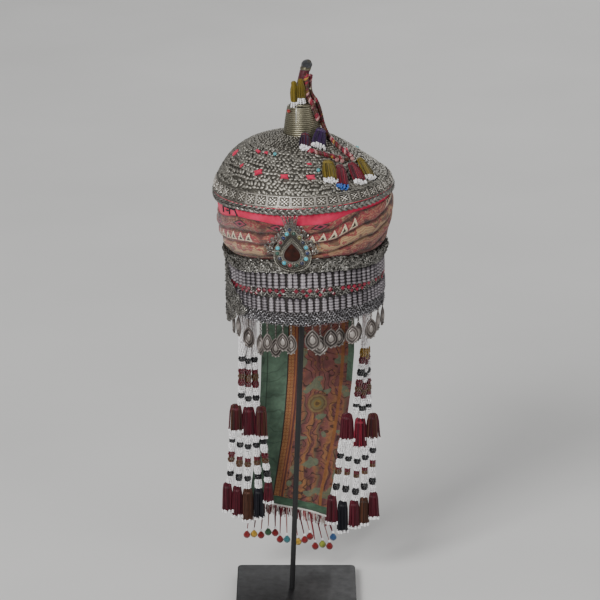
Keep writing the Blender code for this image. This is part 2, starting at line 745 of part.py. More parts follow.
def make_back_panel():
    rings = []
    shares = [i / PANEL_COLUMNS for i in range(PANEL_COLUMNS + 1)]
    thick = Vector((0.0, PANEL_THICK, 0.0))
    for row in PANEL_ROWS:
        front = [panel_point(row, share) for share in shares]
        back = [point + thick for point in reversed(front)]
        rings.append(front + back)
    bm = bmesh.new()
    rows = [[bm.verts.new(point) for point in ring] for ring in rings]
    count = len(rows[0])
    for low, high in zip(rows, rows[1:]):
        for i in range(count):
            j = (i + 1) % count
            bm.faces.new((low[i], low[j], high[j], high[i]))
    for row in (rows[0], rows[-1]):
        for i in range(PANEL_COLUMNS):
            bm.faces.new((row[i], row[i + 1], row[count - 2 - i], row[count - 1 - i]))
    return finish_object(mesh_object("back_panel", bm), "embroidered_cloth")


# Fringe bobbles: x and height of each one's middle
BOBBLES = (
    (-63.0, 58.8),
    (-54.0, 57.5),
    (-45.0, 56.0),
    (-36.0, 59.0),
    (-27.0, 58.6),
    (-21.0, 48.6),
    (-12.0, 49.0),
    (2.2, 44.3),
    (10.4, 47.0),
    (17.2, 50.5),
    (24.0, 37.8),
    (33.2, 40.0),
    (42.2, 38.8),
    (46.8, 51.0),
)
BOBBLE_RADIUS = 4.7
PIPING_RADIUS = 1.3


def make_panel_fringe():
    """The hem's piping with a thread and a felt bobble from each place along it."""
    last = PANEL_ROWS[-1]
    parts = []
    piping = []
    shares = [i / 8 for i in range(9)]
    across, up = Vector((0.0, 1.0, 0.0)), Vector((0.0, 0.0, 1.0))
    sink = Vector((0.0, PANEL_THICK / 2, -PIPING_RADIUS - GAP - 0.25))
    for share in shares:
        piping.append(oval(panel_point(last, share) + sink, across, up, PIPING_RADIUS, PIPING_RADIUS, 6))
    parts.append(loft("piping", piping))
    left, right = last[1], last[2]
    across, deep = Vector((1.0, 0.0, 0.0)), Vector((0.0, 1.0, 0.0))
    for number, (x, height) in enumerate(BOBBLES):
        share = 0.03 + 0.94 * number / (len(BOBBLES) - 1)
        knot = panel_point(last, share) + sink
        foot = Vector((x, knot.y - 1.0 + 2.0 * (number % 2), height))
        sections = (
            (knot, 0.8),
            (foot + Vector((0.0, 0.0, BOBBLE_RADIUS + 2.0)), 0.8),
            (foot + Vector((0.0, 0.0, BOBBLE_RADIUS * 0.3)), BOBBLE_RADIUS),
            (foot + Vector((0.0, 0.0, -BOBBLE_RADIUS * 0.9)), BOBBLE_RADIUS * 0.6),
        )
        rings = [oval(middle, across, deep, radius, radius, 5) for middle, radius in sections]
        parts.append(loft("thread", rings))
    return finish_object(fuse("panel_fringe", parts), "maroon_silk")


def make_stand_base():
    bm = bmesh.new()
    size = Matrix.Diagonal((BASE_SIDE, BASE_SIDE, BASE_THICK, 1.0))
    bmesh.ops.create_cube(bm, size=1.0, matrix=Matrix.Translation((0.0, 0.0, BASE_THICK / 2)) @ size)
    upright = [edge for edge in bm.edges if abs(edge.verts[0].co.z - edge.verts[1].co.z) > 1.0]
    bmesh.ops.bevel(bm, geom=upright, offset=6.0, segments=3, affect="EDGES", profile=0.5)
    lid = [face for face in bm.faces if face.normal.z > 0.9 and face.calc_center_median().z > BASE_THICK - 0.1]
    rim = [edge for face in lid for edge in face.edges]
    bmesh.ops.bevel(bm, geom=rim, offset=1.5, segments=2, affect="EDGES", profile=0.5)
    return finish_object(mesh_object("stand_base", bm), "black_paint")


def top_underside():
    """A point under the stand's top and the direction that top faces, in world millimetres."""
    seat = crown_height(TOP_MIDDLE + TOP_RADIUS, 0.0, PLATE_THICK + GAP + CLOTH_THICK) - 2.4
    point = CAP_MATRIX @ Vector((TOP_MIDDLE, 0.0, seat - TOP_THICK))
    return point, (CAP_MATRIX.to_3x3() @ Vector((0.0, 0.0, 1.0))).normalized(), seat


def make_stand_post():
    """A straight round post from the base to the underside of its top, its upper end cut to that slant."""
    under, facing, _ = top_underside()
    under = under - facing * GAP
    run = (under - POST_FOOT).normalized()
    across, deep = Vector((1.0, 0.0, 0.0)), Vector((0.0, 1.0, 0.0))
    foot = oval(POST_FOOT, across, deep, POST_RADIUS, POST_RADIUS, 16)
    head = [point + run * ((under - point).dot(facing) / run.dot(facing)) for point in foot]
    return finish_object(loft("stand_post", [foot, head]), "black_paint")


def make_stand_top(cap):
    _, _, seat = top_underside()
    across, deep = Vector((1.0, 0.0, 0.0)), Vector((0.0, 1.0, 0.0))
    sections = ((seat - TOP_THICK, TOP_RADIUS), (seat, TOP_RADIUS))
    rings = [oval((TOP_MIDDLE, 0.0, z), across, deep, radius, radius, 20) for z, radius in sections]
    return finish_object(loft("stand_top", rings), "black_paint", cap)


def main():
    clear_scene()
    cap = bpy.data.objects.new("cap_frame", None)
    bpy.context.scene.collection.objects.link(cap)
    cap.location = CAP_SEAT * MM
    cap.rotation_euler = (0.0, -CAP_ROLL, 0.0)
    make_cap_cloth(cap)
    make_dome_plates(cap)
    make_rim_band(cap)
    make_rim_edge(cap)
    make_scarf_wrap(cap)
    make_mail_roll(cap)
    make_band_row("tube_row_upper", TUBE_ROW_UPPER, COLUMNS, 1.2, BAND_RADIUS, "pale_silver", cap)
    make_band_row("bead_row", BEAD_ROW, COLUMNS, 0.9, BAND_RADIUS - 1.0, "red_glass", cap)
    make_band_row("tube_row_lower", TUBE_ROW_LOWER, COLUMNS, 1.2, BAND_RADIUS, "pale_silver", cap)
    make_mail_hem(cap)
    make_side_mail_drape(cap)
    make_forehead_setting(cap)
    make_forehead_stone(cap)
    for number, row in enumerate(DROPS, start=1):
        make_drop(number, *row)
    make_finial_cone(cap)
    make_finial_spike(cap)
    for name in BRAIDS:
        make_braid(name, cap)
    for row in CROWN_TASSELS:
        make_crown_tassel(*row, cap)
    make_spike_tassels(cap)
    make_strings("left_strings_upper", LEFT_UPPER_STRINGS, 254.0)
    make_tassel_row("left_tassels_upper", LEFT_UPPER_TASSELS, "maroon_silk")
    make_strings("left_strings_lower", LEFT_LOWER_STRINGS, 199.0)
    make_tassel_row("left_tassels_lower", LEFT_LOWER_TASSELS, "maroon_silk")
    make_strings("right_strings_upper", RIGHT_UPPER_STRINGS, 242.0)
    make_tassel_row("right_tassels_upper", RIGHT_UPPER_TASSELS, "maroon_silk")
    make_strings("right_strings_lower", RIGHT_LOWER_STRINGS, 184.0)
    make_tassel_row("right_tassels_lower", RIGHT_LOWER_TASSELS, "maroon_silk")
    make_back_panel()
    make_panel_fringe()
    make_stand_base()
    make_stand_post()
    make_stand_top(cap)


main()
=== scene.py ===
"""A silver-covered bridal headdress on a plain post stand: each piece's looks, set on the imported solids.

Places are in millimetres. Those of the cap are in its own frame, whose origin is the middle of the head
opening, and are turned into the row frame, in metres, when a mesh is made.
"""

import math
from functools import partial

import bpy
import numpy as np
from mathutils import Matrix, Vector


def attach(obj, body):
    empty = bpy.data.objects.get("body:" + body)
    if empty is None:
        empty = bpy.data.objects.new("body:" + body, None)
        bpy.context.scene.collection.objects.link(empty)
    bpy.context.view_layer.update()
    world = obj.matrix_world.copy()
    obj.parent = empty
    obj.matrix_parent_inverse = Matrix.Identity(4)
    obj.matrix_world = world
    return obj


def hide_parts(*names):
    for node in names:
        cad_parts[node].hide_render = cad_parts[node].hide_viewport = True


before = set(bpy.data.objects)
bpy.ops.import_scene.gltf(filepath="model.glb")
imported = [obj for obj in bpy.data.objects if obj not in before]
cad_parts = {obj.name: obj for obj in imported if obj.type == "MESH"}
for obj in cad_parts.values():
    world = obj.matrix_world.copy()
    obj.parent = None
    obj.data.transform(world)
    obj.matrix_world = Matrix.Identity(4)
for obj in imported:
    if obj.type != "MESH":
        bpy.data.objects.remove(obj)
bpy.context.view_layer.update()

MM = 0.001
CAP = np.array(Matrix.Translation((14.0, 0.0, 388.0)) @ Matrix.Rotation(-math.radians(2.2), 4, "Y"))
SIDEWAYS, BACKWARDS, UPWARDS = np.eye(3)

# The crown's outer surface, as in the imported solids
CROWN_RADIUS, CROWN_RIM, CROWN_APEX = 105.8, 156.0, 219.0
CROWN_POWER, CROWN_FULLNESS, CROWN_SLUMP = 1.75, 0.72, 6.75
CAP_WALL = ((5.0, 87.6), (66.0, 89.0), (90.0, 94.0), (131.0, 103.4), (141.5, 104.4))
BAND_RADIUS, BAND_SAG, CAP_GIRTH = 94.4, 6.0, 600.0


# Places on the cap


def cap_to_row(points):
    """Points of the cap's frame in the row frame, still in millimetres."""
    return np.asarray(points, float) @ CAP[:3, :3].T + CAP[:3, 3]


def polar(radius, angle, height):
    radius, angle, height = np.broadcast_arrays(radius, angle, height)
    return np.stack((radius * np.sin(angle), -radius * np.cos(angle), height), axis=-1).astype(float)


def smooth_step(value):
    value = np.clip(value, 0.0, 1.0)
    return value * value * (3 - 2 * value)


def settled(height, angle):
    """The upper rows of the band and what lies on them sink towards the temples."""
    turn = np.abs((np.asarray(angle) + math.pi) % math.tau - math.pi)
    return height - BAND_SAG * np.clip((height - 36.0) / 16.0, 0, 1) * smooth_step((turn - 0.26) / 0.8)


def wall_radius(height):
    heights, radii = zip(*CAP_WALL)
    return np.interp(height, heights, radii)


def crown_height(x, y):
    share = np.minimum(np.hypot(x, y) / CROWN_RADIUS, 1.0)
    rise = (CROWN_APEX - CROWN_RIM) * (1 - share**CROWN_POWER) ** CROWN_FULLNESS
    return CROWN_RIM + rise - CROWN_SLUMP * 4 * (x / CROWN_RADIUS) * share * (1 - share**3)


def unit(vectors):
    return vectors / np.linalg.norm(vectors, axis=-1, keepdims=True)


def crown_frames(x, y):
    """For places in plan: the crown's points, and its directions round, up the slope and outward."""
    x, y = np.atleast_1d(x).astype(float), np.atleast_1d(y).astype(float)
    slope_x = (crown_height(x + 0.4, y) - crown_height(x - 0.4, y)) / 0.8
    slope_y = (crown_height(x, y + 0.4) - crown_height(x, y - 0.4)) / 0.8
    out = unit(np.stack((-slope_x, -slope_y, np.ones_like(x)), axis=-1))
    angle = np.arctan2(x, -y)
    flat = np.stack((np.cos(angle), np.sin(angle), np.zeros_like(x)), axis=-1)
    around = unit(flat - out * np.sum(flat * out, axis=-1, keepdims=True))
    return np.stack((x, y, crown_height(x, y)), axis=-1), around, np.cross(out, around), out


def lay_on_crown(shape, x, y, turn=0.0, size=1.0, lift=0.0):
    """Copies of a small shape laid on the crown and bent to it, one for each place in plan."""
    points, around, up_slope, out = crown_frames(x, y)
    turn, size, lift = (np.broadcast_to(value, points.shape[0])[:, None] for value in (turn, size, lift))
    across = shape[None, :, 0] * np.cos(turn) - shape[None, :, 1] * np.sin(turn)
    along = shape[None, :, 0] * np.sin(turn) + shape[None, :, 1] * np.cos(turn)
    flat = points[:, None] + (across * size)[..., None] * around[:, None]
    flat += (along * size)[..., None] * up_slope[:, None]
    reach = np.hypot(flat[..., 0], flat[..., 1])
    laid = crown_height(flat[..., 0], flat[..., 1])
    flat[..., 2] = np.where(reach < CROWN_RADIUS - 1.5, laid, flat[..., 2])
    return flat + (shape[None, :, 2] * size + lift)[..., None] * out[:, None]


def set_upright(shape, middle, facing, turn=0.0, tip=0.0):
    """A small shape with its top face turned outward: facing is the angle round the cap."""
    across = shape[:, 0] * np.cos(turn) - shape[:, 1] * np.sin(turn)
    rise = shape[:, 0] * np.sin(turn) + shape[:, 1] * np.cos(turn)
    out = shape[:, 2]
    rise, out = rise * np.cos(tip) - out * np.sin(tip), rise * np.sin(tip) + out * np.cos(tip)
    x = across * np.cos(facing) + out * np.sin(facing)
    y = across * np.sin(facing) - out * np.cos(facing)
    return middle + np.stack((x, y, rise), axis=-1)


# Small shapes, modelled once with Blender's own tools and then copied


def start_edit(obj):
    bpy.ops.object.select_all(action="DESELECT")
    obj.select_set(True)
    bpy.context.view_layer.objects.active = obj
    bpy.ops.object.mode_set(mode="EDIT")
    bpy.ops.mesh.select_mode(type="FACE")
    bpy.ops.mesh.select_all(action="SELECT")


def end_edit():
    bpy.ops.mesh.select_all(action="SELECT")
    bpy.ops.mesh.normals_make_consistent(inside=False)
    bpy.ops.object.mode_set(mode="OBJECT")


def taken_apart(obj):
    """The shape's points and faces, and the object itself is removed."""
    points = np.empty(len(obj.data.vertices) * 3)
    obj.data.vertices.foreach_get("co", points)
    faces = [tuple(face.vertices) for face in obj.data.polygons]
    bpy.data.objects.remove(obj)
    return points.reshape(-1, 3), faces


def stacked(layers, outline=None, sides=8):
    """A shape built up from one flat face: each layer is the face's share of its size and its height.

    The face is round with a radius of 1, or takes the outline's points.
    """
    bpy.ops.object.select_all(action="DESELECT")
    sides = len(outline) if outline is not None else sides
    bpy.ops.mesh.primitive_circle_add(vertices=sides, radius=1.0, fill_type="NGON")
    obj = bpy.context.object
    if outline is not None:
        for vertex, place in zip(obj.data.vertices, outline):
            vertex.co.xy = place
    start_edit(obj)
    share, height = layers[0]
    bpy.ops.transform.resize(value=(share, share, 1.0), center_override=(0.0, 0.0, 0.0))
    bpy.ops.transform.translate(value=(0.0, 0.0, height))
    for next_share, next_height in layers[1:]:
        bpy.ops.mesh.extrude_region_move(TRANSFORM_OT_translate={"value": (0.0, 0.0, next_height - height)})
        grow = next_share / share
        bpy.ops.transform.resize(value=(grow, grow, 1.0), center_override=(0.0, 0.0, next_height))
        share, height = next_share, next_height
    end_edit()
    return taken_apart(obj)


def wire_ring(radius, wire, around=8, sides=4, stretch=1.0):
    bpy.ops.object.select_all(action="DESELECT")
    bpy.ops.mesh.primitive_torus_add(
        major_radius=radius, minor_radius=wire, major_segments=around, minor_segments=sides
    )
    points, faces = taken_apart(bpy.context.object)
    points[:, 0] *= stretch
    return points, faces


def joined(*shapes):
    points, faces, base = [], [], 0
    for part_points, part_faces in shapes:
        points.append(part_points)
        faces += [tuple(i + base for i in face) for face in part_faces]
        base += len(part_points)
    return np.concatenate(points), faces


def turned(points, angle, axis):
    return points @ np.array(Matrix.Rotation(angle, 3, axis)).T


def moved(shape, offset=(0, 0, 0), scale=(1, 1, 1), turn=0.0):
    points, faces = shape
    return turned(points * np.array(scale), turn, "Z") + np.array(offset), faces


def mesh_piece(name, points, faces, material, marks=(), smooth=45.0):
    """A finished piece from points in the row frame in millimetres, with named values at its points."""
    mesh = bpy.data.meshes.new(name)
    mesh.from_pydata((np.asarray(points) * MM).tolist(), [], faces)
    for mark, values in dict(marks).items():
        layer = mesh.attributes.new(mark, "FLOAT", "POINT")
        layer.data.foreach_set("value", np.asarray(values, np.float32))
    return finished(name, mesh, material, smooth)


def finished(name, mesh, material, smooth):
    mesh.materials.append(material)
    mesh.shade_smooth()
    if smooth is not None:
        mesh.set_sharp_from_angle(angle=math.radians(smooth))
    obj = bpy.data.objects.new(name, mesh)
    bpy.context.scene.collection.objects.link(obj)
    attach(obj, "root")
    return obj


def copies(name, shape, placed, material, tone=None, seed=1, smooth=45.0, marks=()):
    """One piece made of copies of a small shape, placed in the row frame in millimetres.

    Its points carry relief, 0 at the shape's foot and 1 at its top, and a tone for each copy.
    """
    base, faces = shape
    placed = np.asarray(placed)
    count, size = placed.shape[:2]
    order = np.concatenate([np.array(face) for face in faces])
    totals = np.array([len(face) for face in faces])
    shift = (np.arange(count) * size)[:, None]
    mesh = bpy.data.meshes.new(name)
    mesh.vertices.add(count * size)
    mesh.vertices.foreach_set("co", (placed * MM).astype(np.float32).ravel())
    mesh.loops.add(count * len(order))
    mesh.loops.foreach_set("vertex_index", (order[None] + shift).astype(np.int32).ravel())
    mesh.polygons.add(count * len(totals))
    all_totals = np.tile(totals, count)
    starts = np.cumsum(all_totals) - all_totals
    mesh.polygons.foreach_set("loop_start", starts.astype(np.int32))
    mesh.update(calc_edges=True)
    low, high = base[:, 2].min(), base[:, 2].max()
    relief = np.tile((base[:, 2] - low) / max(high - low, 1e-6), count)
    tone = np.random.default_rng(seed).random(count) if tone is None else np.broadcast_to(tone, count)
    named = {"relief": relief, "tone": np.repeat(tone, size)}
    named.update({mark: np.repeat(values, size) for mark, values in dict(marks).items()})
    for mark, values in named.items():
        mesh.attributes.new(mark, "FLOAT", "POINT").data.foreach_set("value", values.astype(np.float32))
    return finished(name, mesh, material, smooth)


def sweep(run, radius, sides, closed):
    """The points and faces of one round thread along a run, its frame carried along without twist."""
    run = np.asarray(run, float)
    if closed:
        along = unit(np.roll(run, -1, axis=0) - np.roll(run, 1, axis=0))
        side = unit(np.cross(along, UPWARDS))
    else:
        along = unit(np.gradient(run, axis=0))
        side = np.empty_like(run)
        last = np.eye(3)[np.argmin(np.abs(along[0]))]
        for i, heading in enumerate(along):
            last = last - heading * (last @ heading)
            last = last / np.linalg.norm(last)
            side[i] = last
    other = np.cross(along, side)
    turn = math.tau * np.arange(sides) / sides
    spokes = side[:, None] * np.cos(turn)[:, None] + other[:, None] * np.sin(turn)[:, None]
    points = run[:, None] + spokes * radius
    index = np.arange(len(run) * sides).reshape(len(run), sides)
    rows = np.concatenate((index, index[:1])) if closed else index
    low, high = rows[:-1], rows[1:]
    corners = (low, np.roll(low, -1, axis=1), np.roll(high, -1, axis=1), high)
    faces = np.stack(corners, axis=-1).reshape(-1, 4).tolist()
    if not closed:
        faces += [index[0][::-1].tolist(), index[-1].tolist()]
    return points.reshape(-1, 3), faces


def strands(name, runs, radius, material, sides=6, closed=False, tones=None, marks=(), seed=1):
    """Round threads along the given runs, in the row frame in millimetres, as one mesh.

    Its points carry a tone for each thread, how far along it they lie, and any other named values.
    """
    points, faces, base = [], [], 0
    for run in runs:
        part_points, part_faces = sweep(run, radius, sides, closed)
        points.append(part_points)
        faces += [[i + base for i in face] for face in part_faces]
        base += len(part_points)
    counts = [len(part) for part in points]
    tones = np.random.default_rng(seed).random(len(runs)) if tones is None else tones
    values = {"tone": tones, **dict(marks)}
    values = {mark: np.repeat(np.asarray(each, float), counts) for mark, each in values.items()}
    values["along"] = np.concatenate([np.repeat(np.linspace(0, 1, len(run)), sides) for run in runs])
    values["relief"] = np.full(base, 0.6)
    return mesh_piece(name, np.concatenate(points), faces, material, values, 60)


def skin(name, front, material, uv, back=None, wrap=False):
    """A net of faces over a grid of points in the row frame, with its UV map in millimetres.

    With a back grid it is a closed thin shell: the front faces out where columns run to its right.
    """
    rows, columns = front.shape[:2]
    points = [front.reshape(-1, 3)]
    uv = np.asarray(uv)
    index = np.arange(rows * columns).reshape(rows, columns)
    if wrap:
        index = np.concatenate((index, index[:, :1]), axis=1)
    uv_rows = np.arange(rows * (columns + wrap)).reshape(rows, columns + wrap)

    def quads(net, flip):
        corners = (net[:-1, :-1], net[:-1, 1:], net[1:, 1:], net[1:, :-1])
        faces = np.stack(corners, axis=-1).reshape(-1, 4)
        return faces[:, ::-1] if flip else faces

    faces, places = [quads(index, False)], [quads(uv_rows, False)]
    if back is not None:
        points.append(back.reshape(-1, 3))
        behind = index + rows * columns
        faces.append(quads(behind, True))
        places.append(quads(uv_rows, True))
        edges = [(index[0], behind[0], uv_rows[0], True), (index[-1], behind[-1], uv_rows[-1], False)]
        if not wrap:
            edges.append((index[:, 0], behind[:, 0], uv_rows[:, 0], False))
            edges.append((index[:, -1], behind[:, -1], uv_rows[:, -1], True))
        for near, far, mark, flip in edges:
            faces.append(quads(np.stack((near, far)), flip))
            places.append(quads(np.stack((mark, mark)), flip))
    faces, places = np.concatenate(faces), np.concatenate(places)
    obj = mesh_piece(name, np.concatenate(points), faces.tolist(), material, smooth=None)
    layer = obj.data.uv_layers.new(name="flat")
    layer.data.foreach_set("uv", uv.reshape(-1, 2)[places.ravel()].astype(np.float32).ravel())
    return obj


def even_uv(rows, columns, wide, high):
    """A flat layout of a grid: as wide and high as the cloth, in millimetres."""
    u, v = np.meshgrid(np.linspace(0, wide, columns), np.linspace(0, high, rows))
    return np.stack((u, v), axis=-1)


def smooth_run(points, pitch):
    """Points at even distances along a smooth curve through the given ones."""
    points = [Vector(point) for point in points]
    ends = [points[0] * 2 - points[1]] + points + [points[-1] * 2 - points[-2]]
    fine = []
    for before, start, stop, after in zip(ends, ends[1:], ends[2:], ends[3:]):
        for i in range(12):
            t = i / 12
            bend = (before * 2 - start * 5 + stop * 4 - after) * t * t
            curl = (start * 3 - before - stop * 3 + after) * t**3
            fine.append((start * 2 + (stop - before) * t + bend + curl) / 2)
    fine.append(points[-1])
    fine = np.array(fine)
    along = np.concatenate(([0.0], np.cumsum(np.linalg.norm(np.diff(fine, axis=0), axis=1))))
    marks = np.linspace(0.0, along[-1], max(4, round(along[-1] / pitch)))
    return np.stack([np.interp(marks, along, fine[:, axis]) for axis in range(3)], axis=-1)


# Materials


def colour(code):
    """The linear colour of an sRGB hex value."""
    channels = [int(code[i : i + 2], 16) / 255 for i in (1, 3, 5)]
    linear = [c / 12.92 if c <= 0.04045 else ((c + 0.055) / 1.055) ** 2.4 for c in channels]
    return (*linear, 1.0)


def add_node(tree, kind, *inputs, output=None, stops=(), **settings):
    """Adds a node with its settings and links, and gives its output.

    A kind in capitals is an operation of the Math node. Inputs fill the sockets that the node shows, in
    their order or by name: each is a number, a hex colour or another socket. Stops are a ramp's places
    and colours.
    """
    if kind.isupper():
        kind, settings["operation"] = "Math", kind
    if kind == "Mix":
        settings.setdefault("data_type", "RGBA")
    node = tree.nodes.new("ShaderNode" + kind)
    if stops:
        node.color_ramp.interpolation = settings.pop("interpolation", "LINEAR")
    named = {key: settings.pop(key) for key in list(settings) if key in node.inputs}
    for key, value in settings.items():
        setattr(node, key, value)
    shown = [socket for socket in node.inputs if socket.enabled]
    for socket, value in [*zip(shown, inputs), *((node.inputs[key], value) for key, value in named.items())]:
        if isinstance(value, bpy.types.NodeSocket):
            tree.links.new(value, socket)
        else:
            socket.default_value = colour(value) if isinstance(value, str) else value
    for _ in stops[2:]:
        node.color_ramp.elements.new(0.5)
    for number, (position, code) in enumerate(stops):
        node.color_ramp.elements[number].position = position
        node.color_ramp.elements[number].color = colour(code)
    return node.outputs[output] if output else next(socket for socket in node.outputs if socket.enabled)


def new_material(name, settings):
    """A material, with one function that adds nodes to it and one that feeds its shader."""
    material = bpy.data.materials.new(name)
    material.use_nodes = True
    tree = material.node_tree
    shader = tree.nodes["Principled BSDF"]
    for key, value in settings.items():
        shader.inputs[key].default_value = value

    def feed(key, socket):
        tree.links.new(socket, shader.inputs[key])

    return material, partial(add_node, tree), feed


def cloth_settings(roughness, sheen, sheen_roughness=0.5):
    return {"Roughness": roughness, "Sheen Weight": sheen, "Sheen Roughness": sheen_roughness, "IOR": 1.45}


def tinted(add, tint, code, share, amount):
    """The tint with a colour over it where the share is 1, as strong as the amount."""
    return add("Mix", add("MULTIPLY", share, amount), tint, code)


def silver(name, dark, middle, light, roughness):
    """Old low-grade silver: raised parts are rubbed bright, hollows keep their dark tarnish."""
    material, add, feed = new_material(name, {"Metallic": 0.92})
    place = add("TexCoord", output="Object")
    worn = add("TexNoise", place, Scale=1000 / 16.0, Detail=4.0)
    pits = add("TexNoise", place, Scale=1000 / 1.4, Detail=2.0)
    relief = add("Attribute", attribute_name="relief", output="Fac")
    tone = add("Attribute", attribute_name="tone", output="Fac")
    level = add("MULTIPLY_ADD", relief, 0.62, add("MULTIPLY", worn, 0.34))
    # The tone is random from copy to copy, but on the rim plates and the tubes it is painted light, lighter
    # toward the front
    level = add("ADD", level, add("MULTIPLY", tone, 0.22))
    feed("Base Color", add("ValToRGB", level, stops=((0.18, dark), (0.55, middle), (0.98, light))))
    feed("Roughness", add("MapRange", pits, 0.3, 0.7, roughness - 0.08, roughness + 0.16))
    feed("Normal", add("Bump", Strength=0.5, Distance=0.12 * MM, Height=pits))
    return material


def glass_bead(name, code, deep, roughness=0.12, coat=0.4):
    """Opaque glass with a fired gloss and a slight change of tone from bead to bead."""
    material, add, feed = new_material(name, {"Roughness": roughness, "IOR": 1.5, "Coat Weight": coat})
    feed("Base Color", add("Mix", add("Attribute", attribute_name="tone", output="Fac"), deep, code))
    return material


def make_camera():
    """A long lens a little above the cap, as the photograph was taken."""
    distance, rise = 3.6, math.radians(18.3)
    aim = Vector((0.0045, 0.0, 0.393))
    data = bpy.data.cameras.new("camera")
    data.sensor_width = 36.0
    data.lens = 36.0 * (distance / 0.001215) / 600
    data.clip_start, data.clip_end = 0.1, 50.0
    camera = bpy.data.objects.new("camera", data)
    bpy.context.scene.collection.objects.link(camera)
    camera.location = aim + distance * Vector((0.0, -math.cos(rise), math.sin(rise)))
    camera.rotation_euler = (math.pi / 2 - rise, 0.0, 0.0)
    bpy.context.scene.camera = camera


# The studio's soft lights: name, place, width and power
LIGHTS = (
    ("key", (-2.4, -4.0, 3.38), 2.0, 264.0),
    ("fill", (3.8, -3.2, 1.58), 2.8, 52.0),
    ("back", (1.2, 3.8, 2.98), 2.4, 56.0),
)


def make_studio():
    """A pale floor, a soft key from the upper left, a weaker fill, and an even surround."""
    bpy.ops.object.select_all(action="DESELECT")
    bpy.ops.mesh.primitive_plane_add(size=40.0, location=(0.0, 0.0, -0.0002))
    floor = bpy.context.object
    floor.name = "floor"
    material, add, feed = new_material("pale_floor_paper", {"Roughness": 0.9})
    broad = add("TexNoise", add("TexCoord", output="Object"), Scale=1000 / 400.0, Detail=3.0)
    feed("Base Color", add("ValToRGB", broad, stops=((0.3, "#deddda"), (0.7, "#e4e3e0"))))
    floor.data.materials.append(material)
    for name, place, size, power in LIGHTS:
        light = bpy.data.lights.new(name, "AREA")
        light.size, light.energy = size, power
        lamp = bpy.data.objects.new(name, light)
        bpy.context.scene.collection.objects.link(lamp)
        lamp.location = place
        lamp.rotation_euler = (Vector((0.0, 0.0, 0.42)) - Vector(place)).to_track_quat("-Z", "Y").to_euler()
    world = bpy.data.worlds.new("studio")
    world.use_nodes = True
    world.node_tree.nodes["Background"].inputs["Color"].default_value = colour("#e6e7ea")
    world.node_tree.nodes["Background"].inputs["Strength"].default_value = 0.36
    bpy.context.scene.world = world


make_camera()
make_studio()


def flat_place(add):
    """The UV map's place, and its two directions in millimetres along the cloth."""
    uv = add("UVMap", uv_map="flat")
    return uv, add("SeparateXYZ", uv, output="X"), add("SeparateXYZ", uv, output="Y")


def wave(add, value, pitch, shift=0.0):
    """A sine of a length in millimetres, from -1 to 1."""
    return add("SINE", add("MULTIPLY_ADD", value, math.tau / pitch, shift))


def weave(add, across, along, pitch):
    """A plain weave's height: threads in both directions, each over and under the other."""
    return add("MULTIPLY", wave(add, across, pitch), wave(add, along, pitch))


def within(add, value, low, high):
    """1 where the value lies between two numbers."""
    return add("MULTIPLY", add("GREATER_THAN", value, low), add("LESS_THAN", value, high))


def centred(add, value, pitch):
    """A value that repeats at a pitch, from half a step before each middle to half a step past it."""
    return add("SUBTRACT", add("FRACT", add("DIVIDE", value, pitch)), 0.5)


def cap_cotton():
    """Coral cotton, plain woven: threads are drawn at 1.1 mm, coarser than real, so that they show."""
    material, add, feed = new_material("woven_coral_cotton", cloth_settings(0.8, 0.12))
    _, u, v = flat_place(add)
    threads = weave(add, u, v, 1.1)
    soil = add("TexNoise", add("TexCoord", output="Object"), Scale=1000 / 14.0, Detail=5.0)
    tint = add("ValToRGB", soil, stops=((0.25, "#b01a3e"), (0.5, "#d82850"), (0.8, "#e64068")))
    # Painted shade: the cloth is darker where the woven threads dip under one another
    feed("Base Color", add("Mix", add("MapRange", threads, -1, 1, 0.25, 0.0), tint, "#7c1b33"))
    feed("Normal", add("Bump", Strength=0.6, Distance=0.15 * MM, Height=threads))
    return material


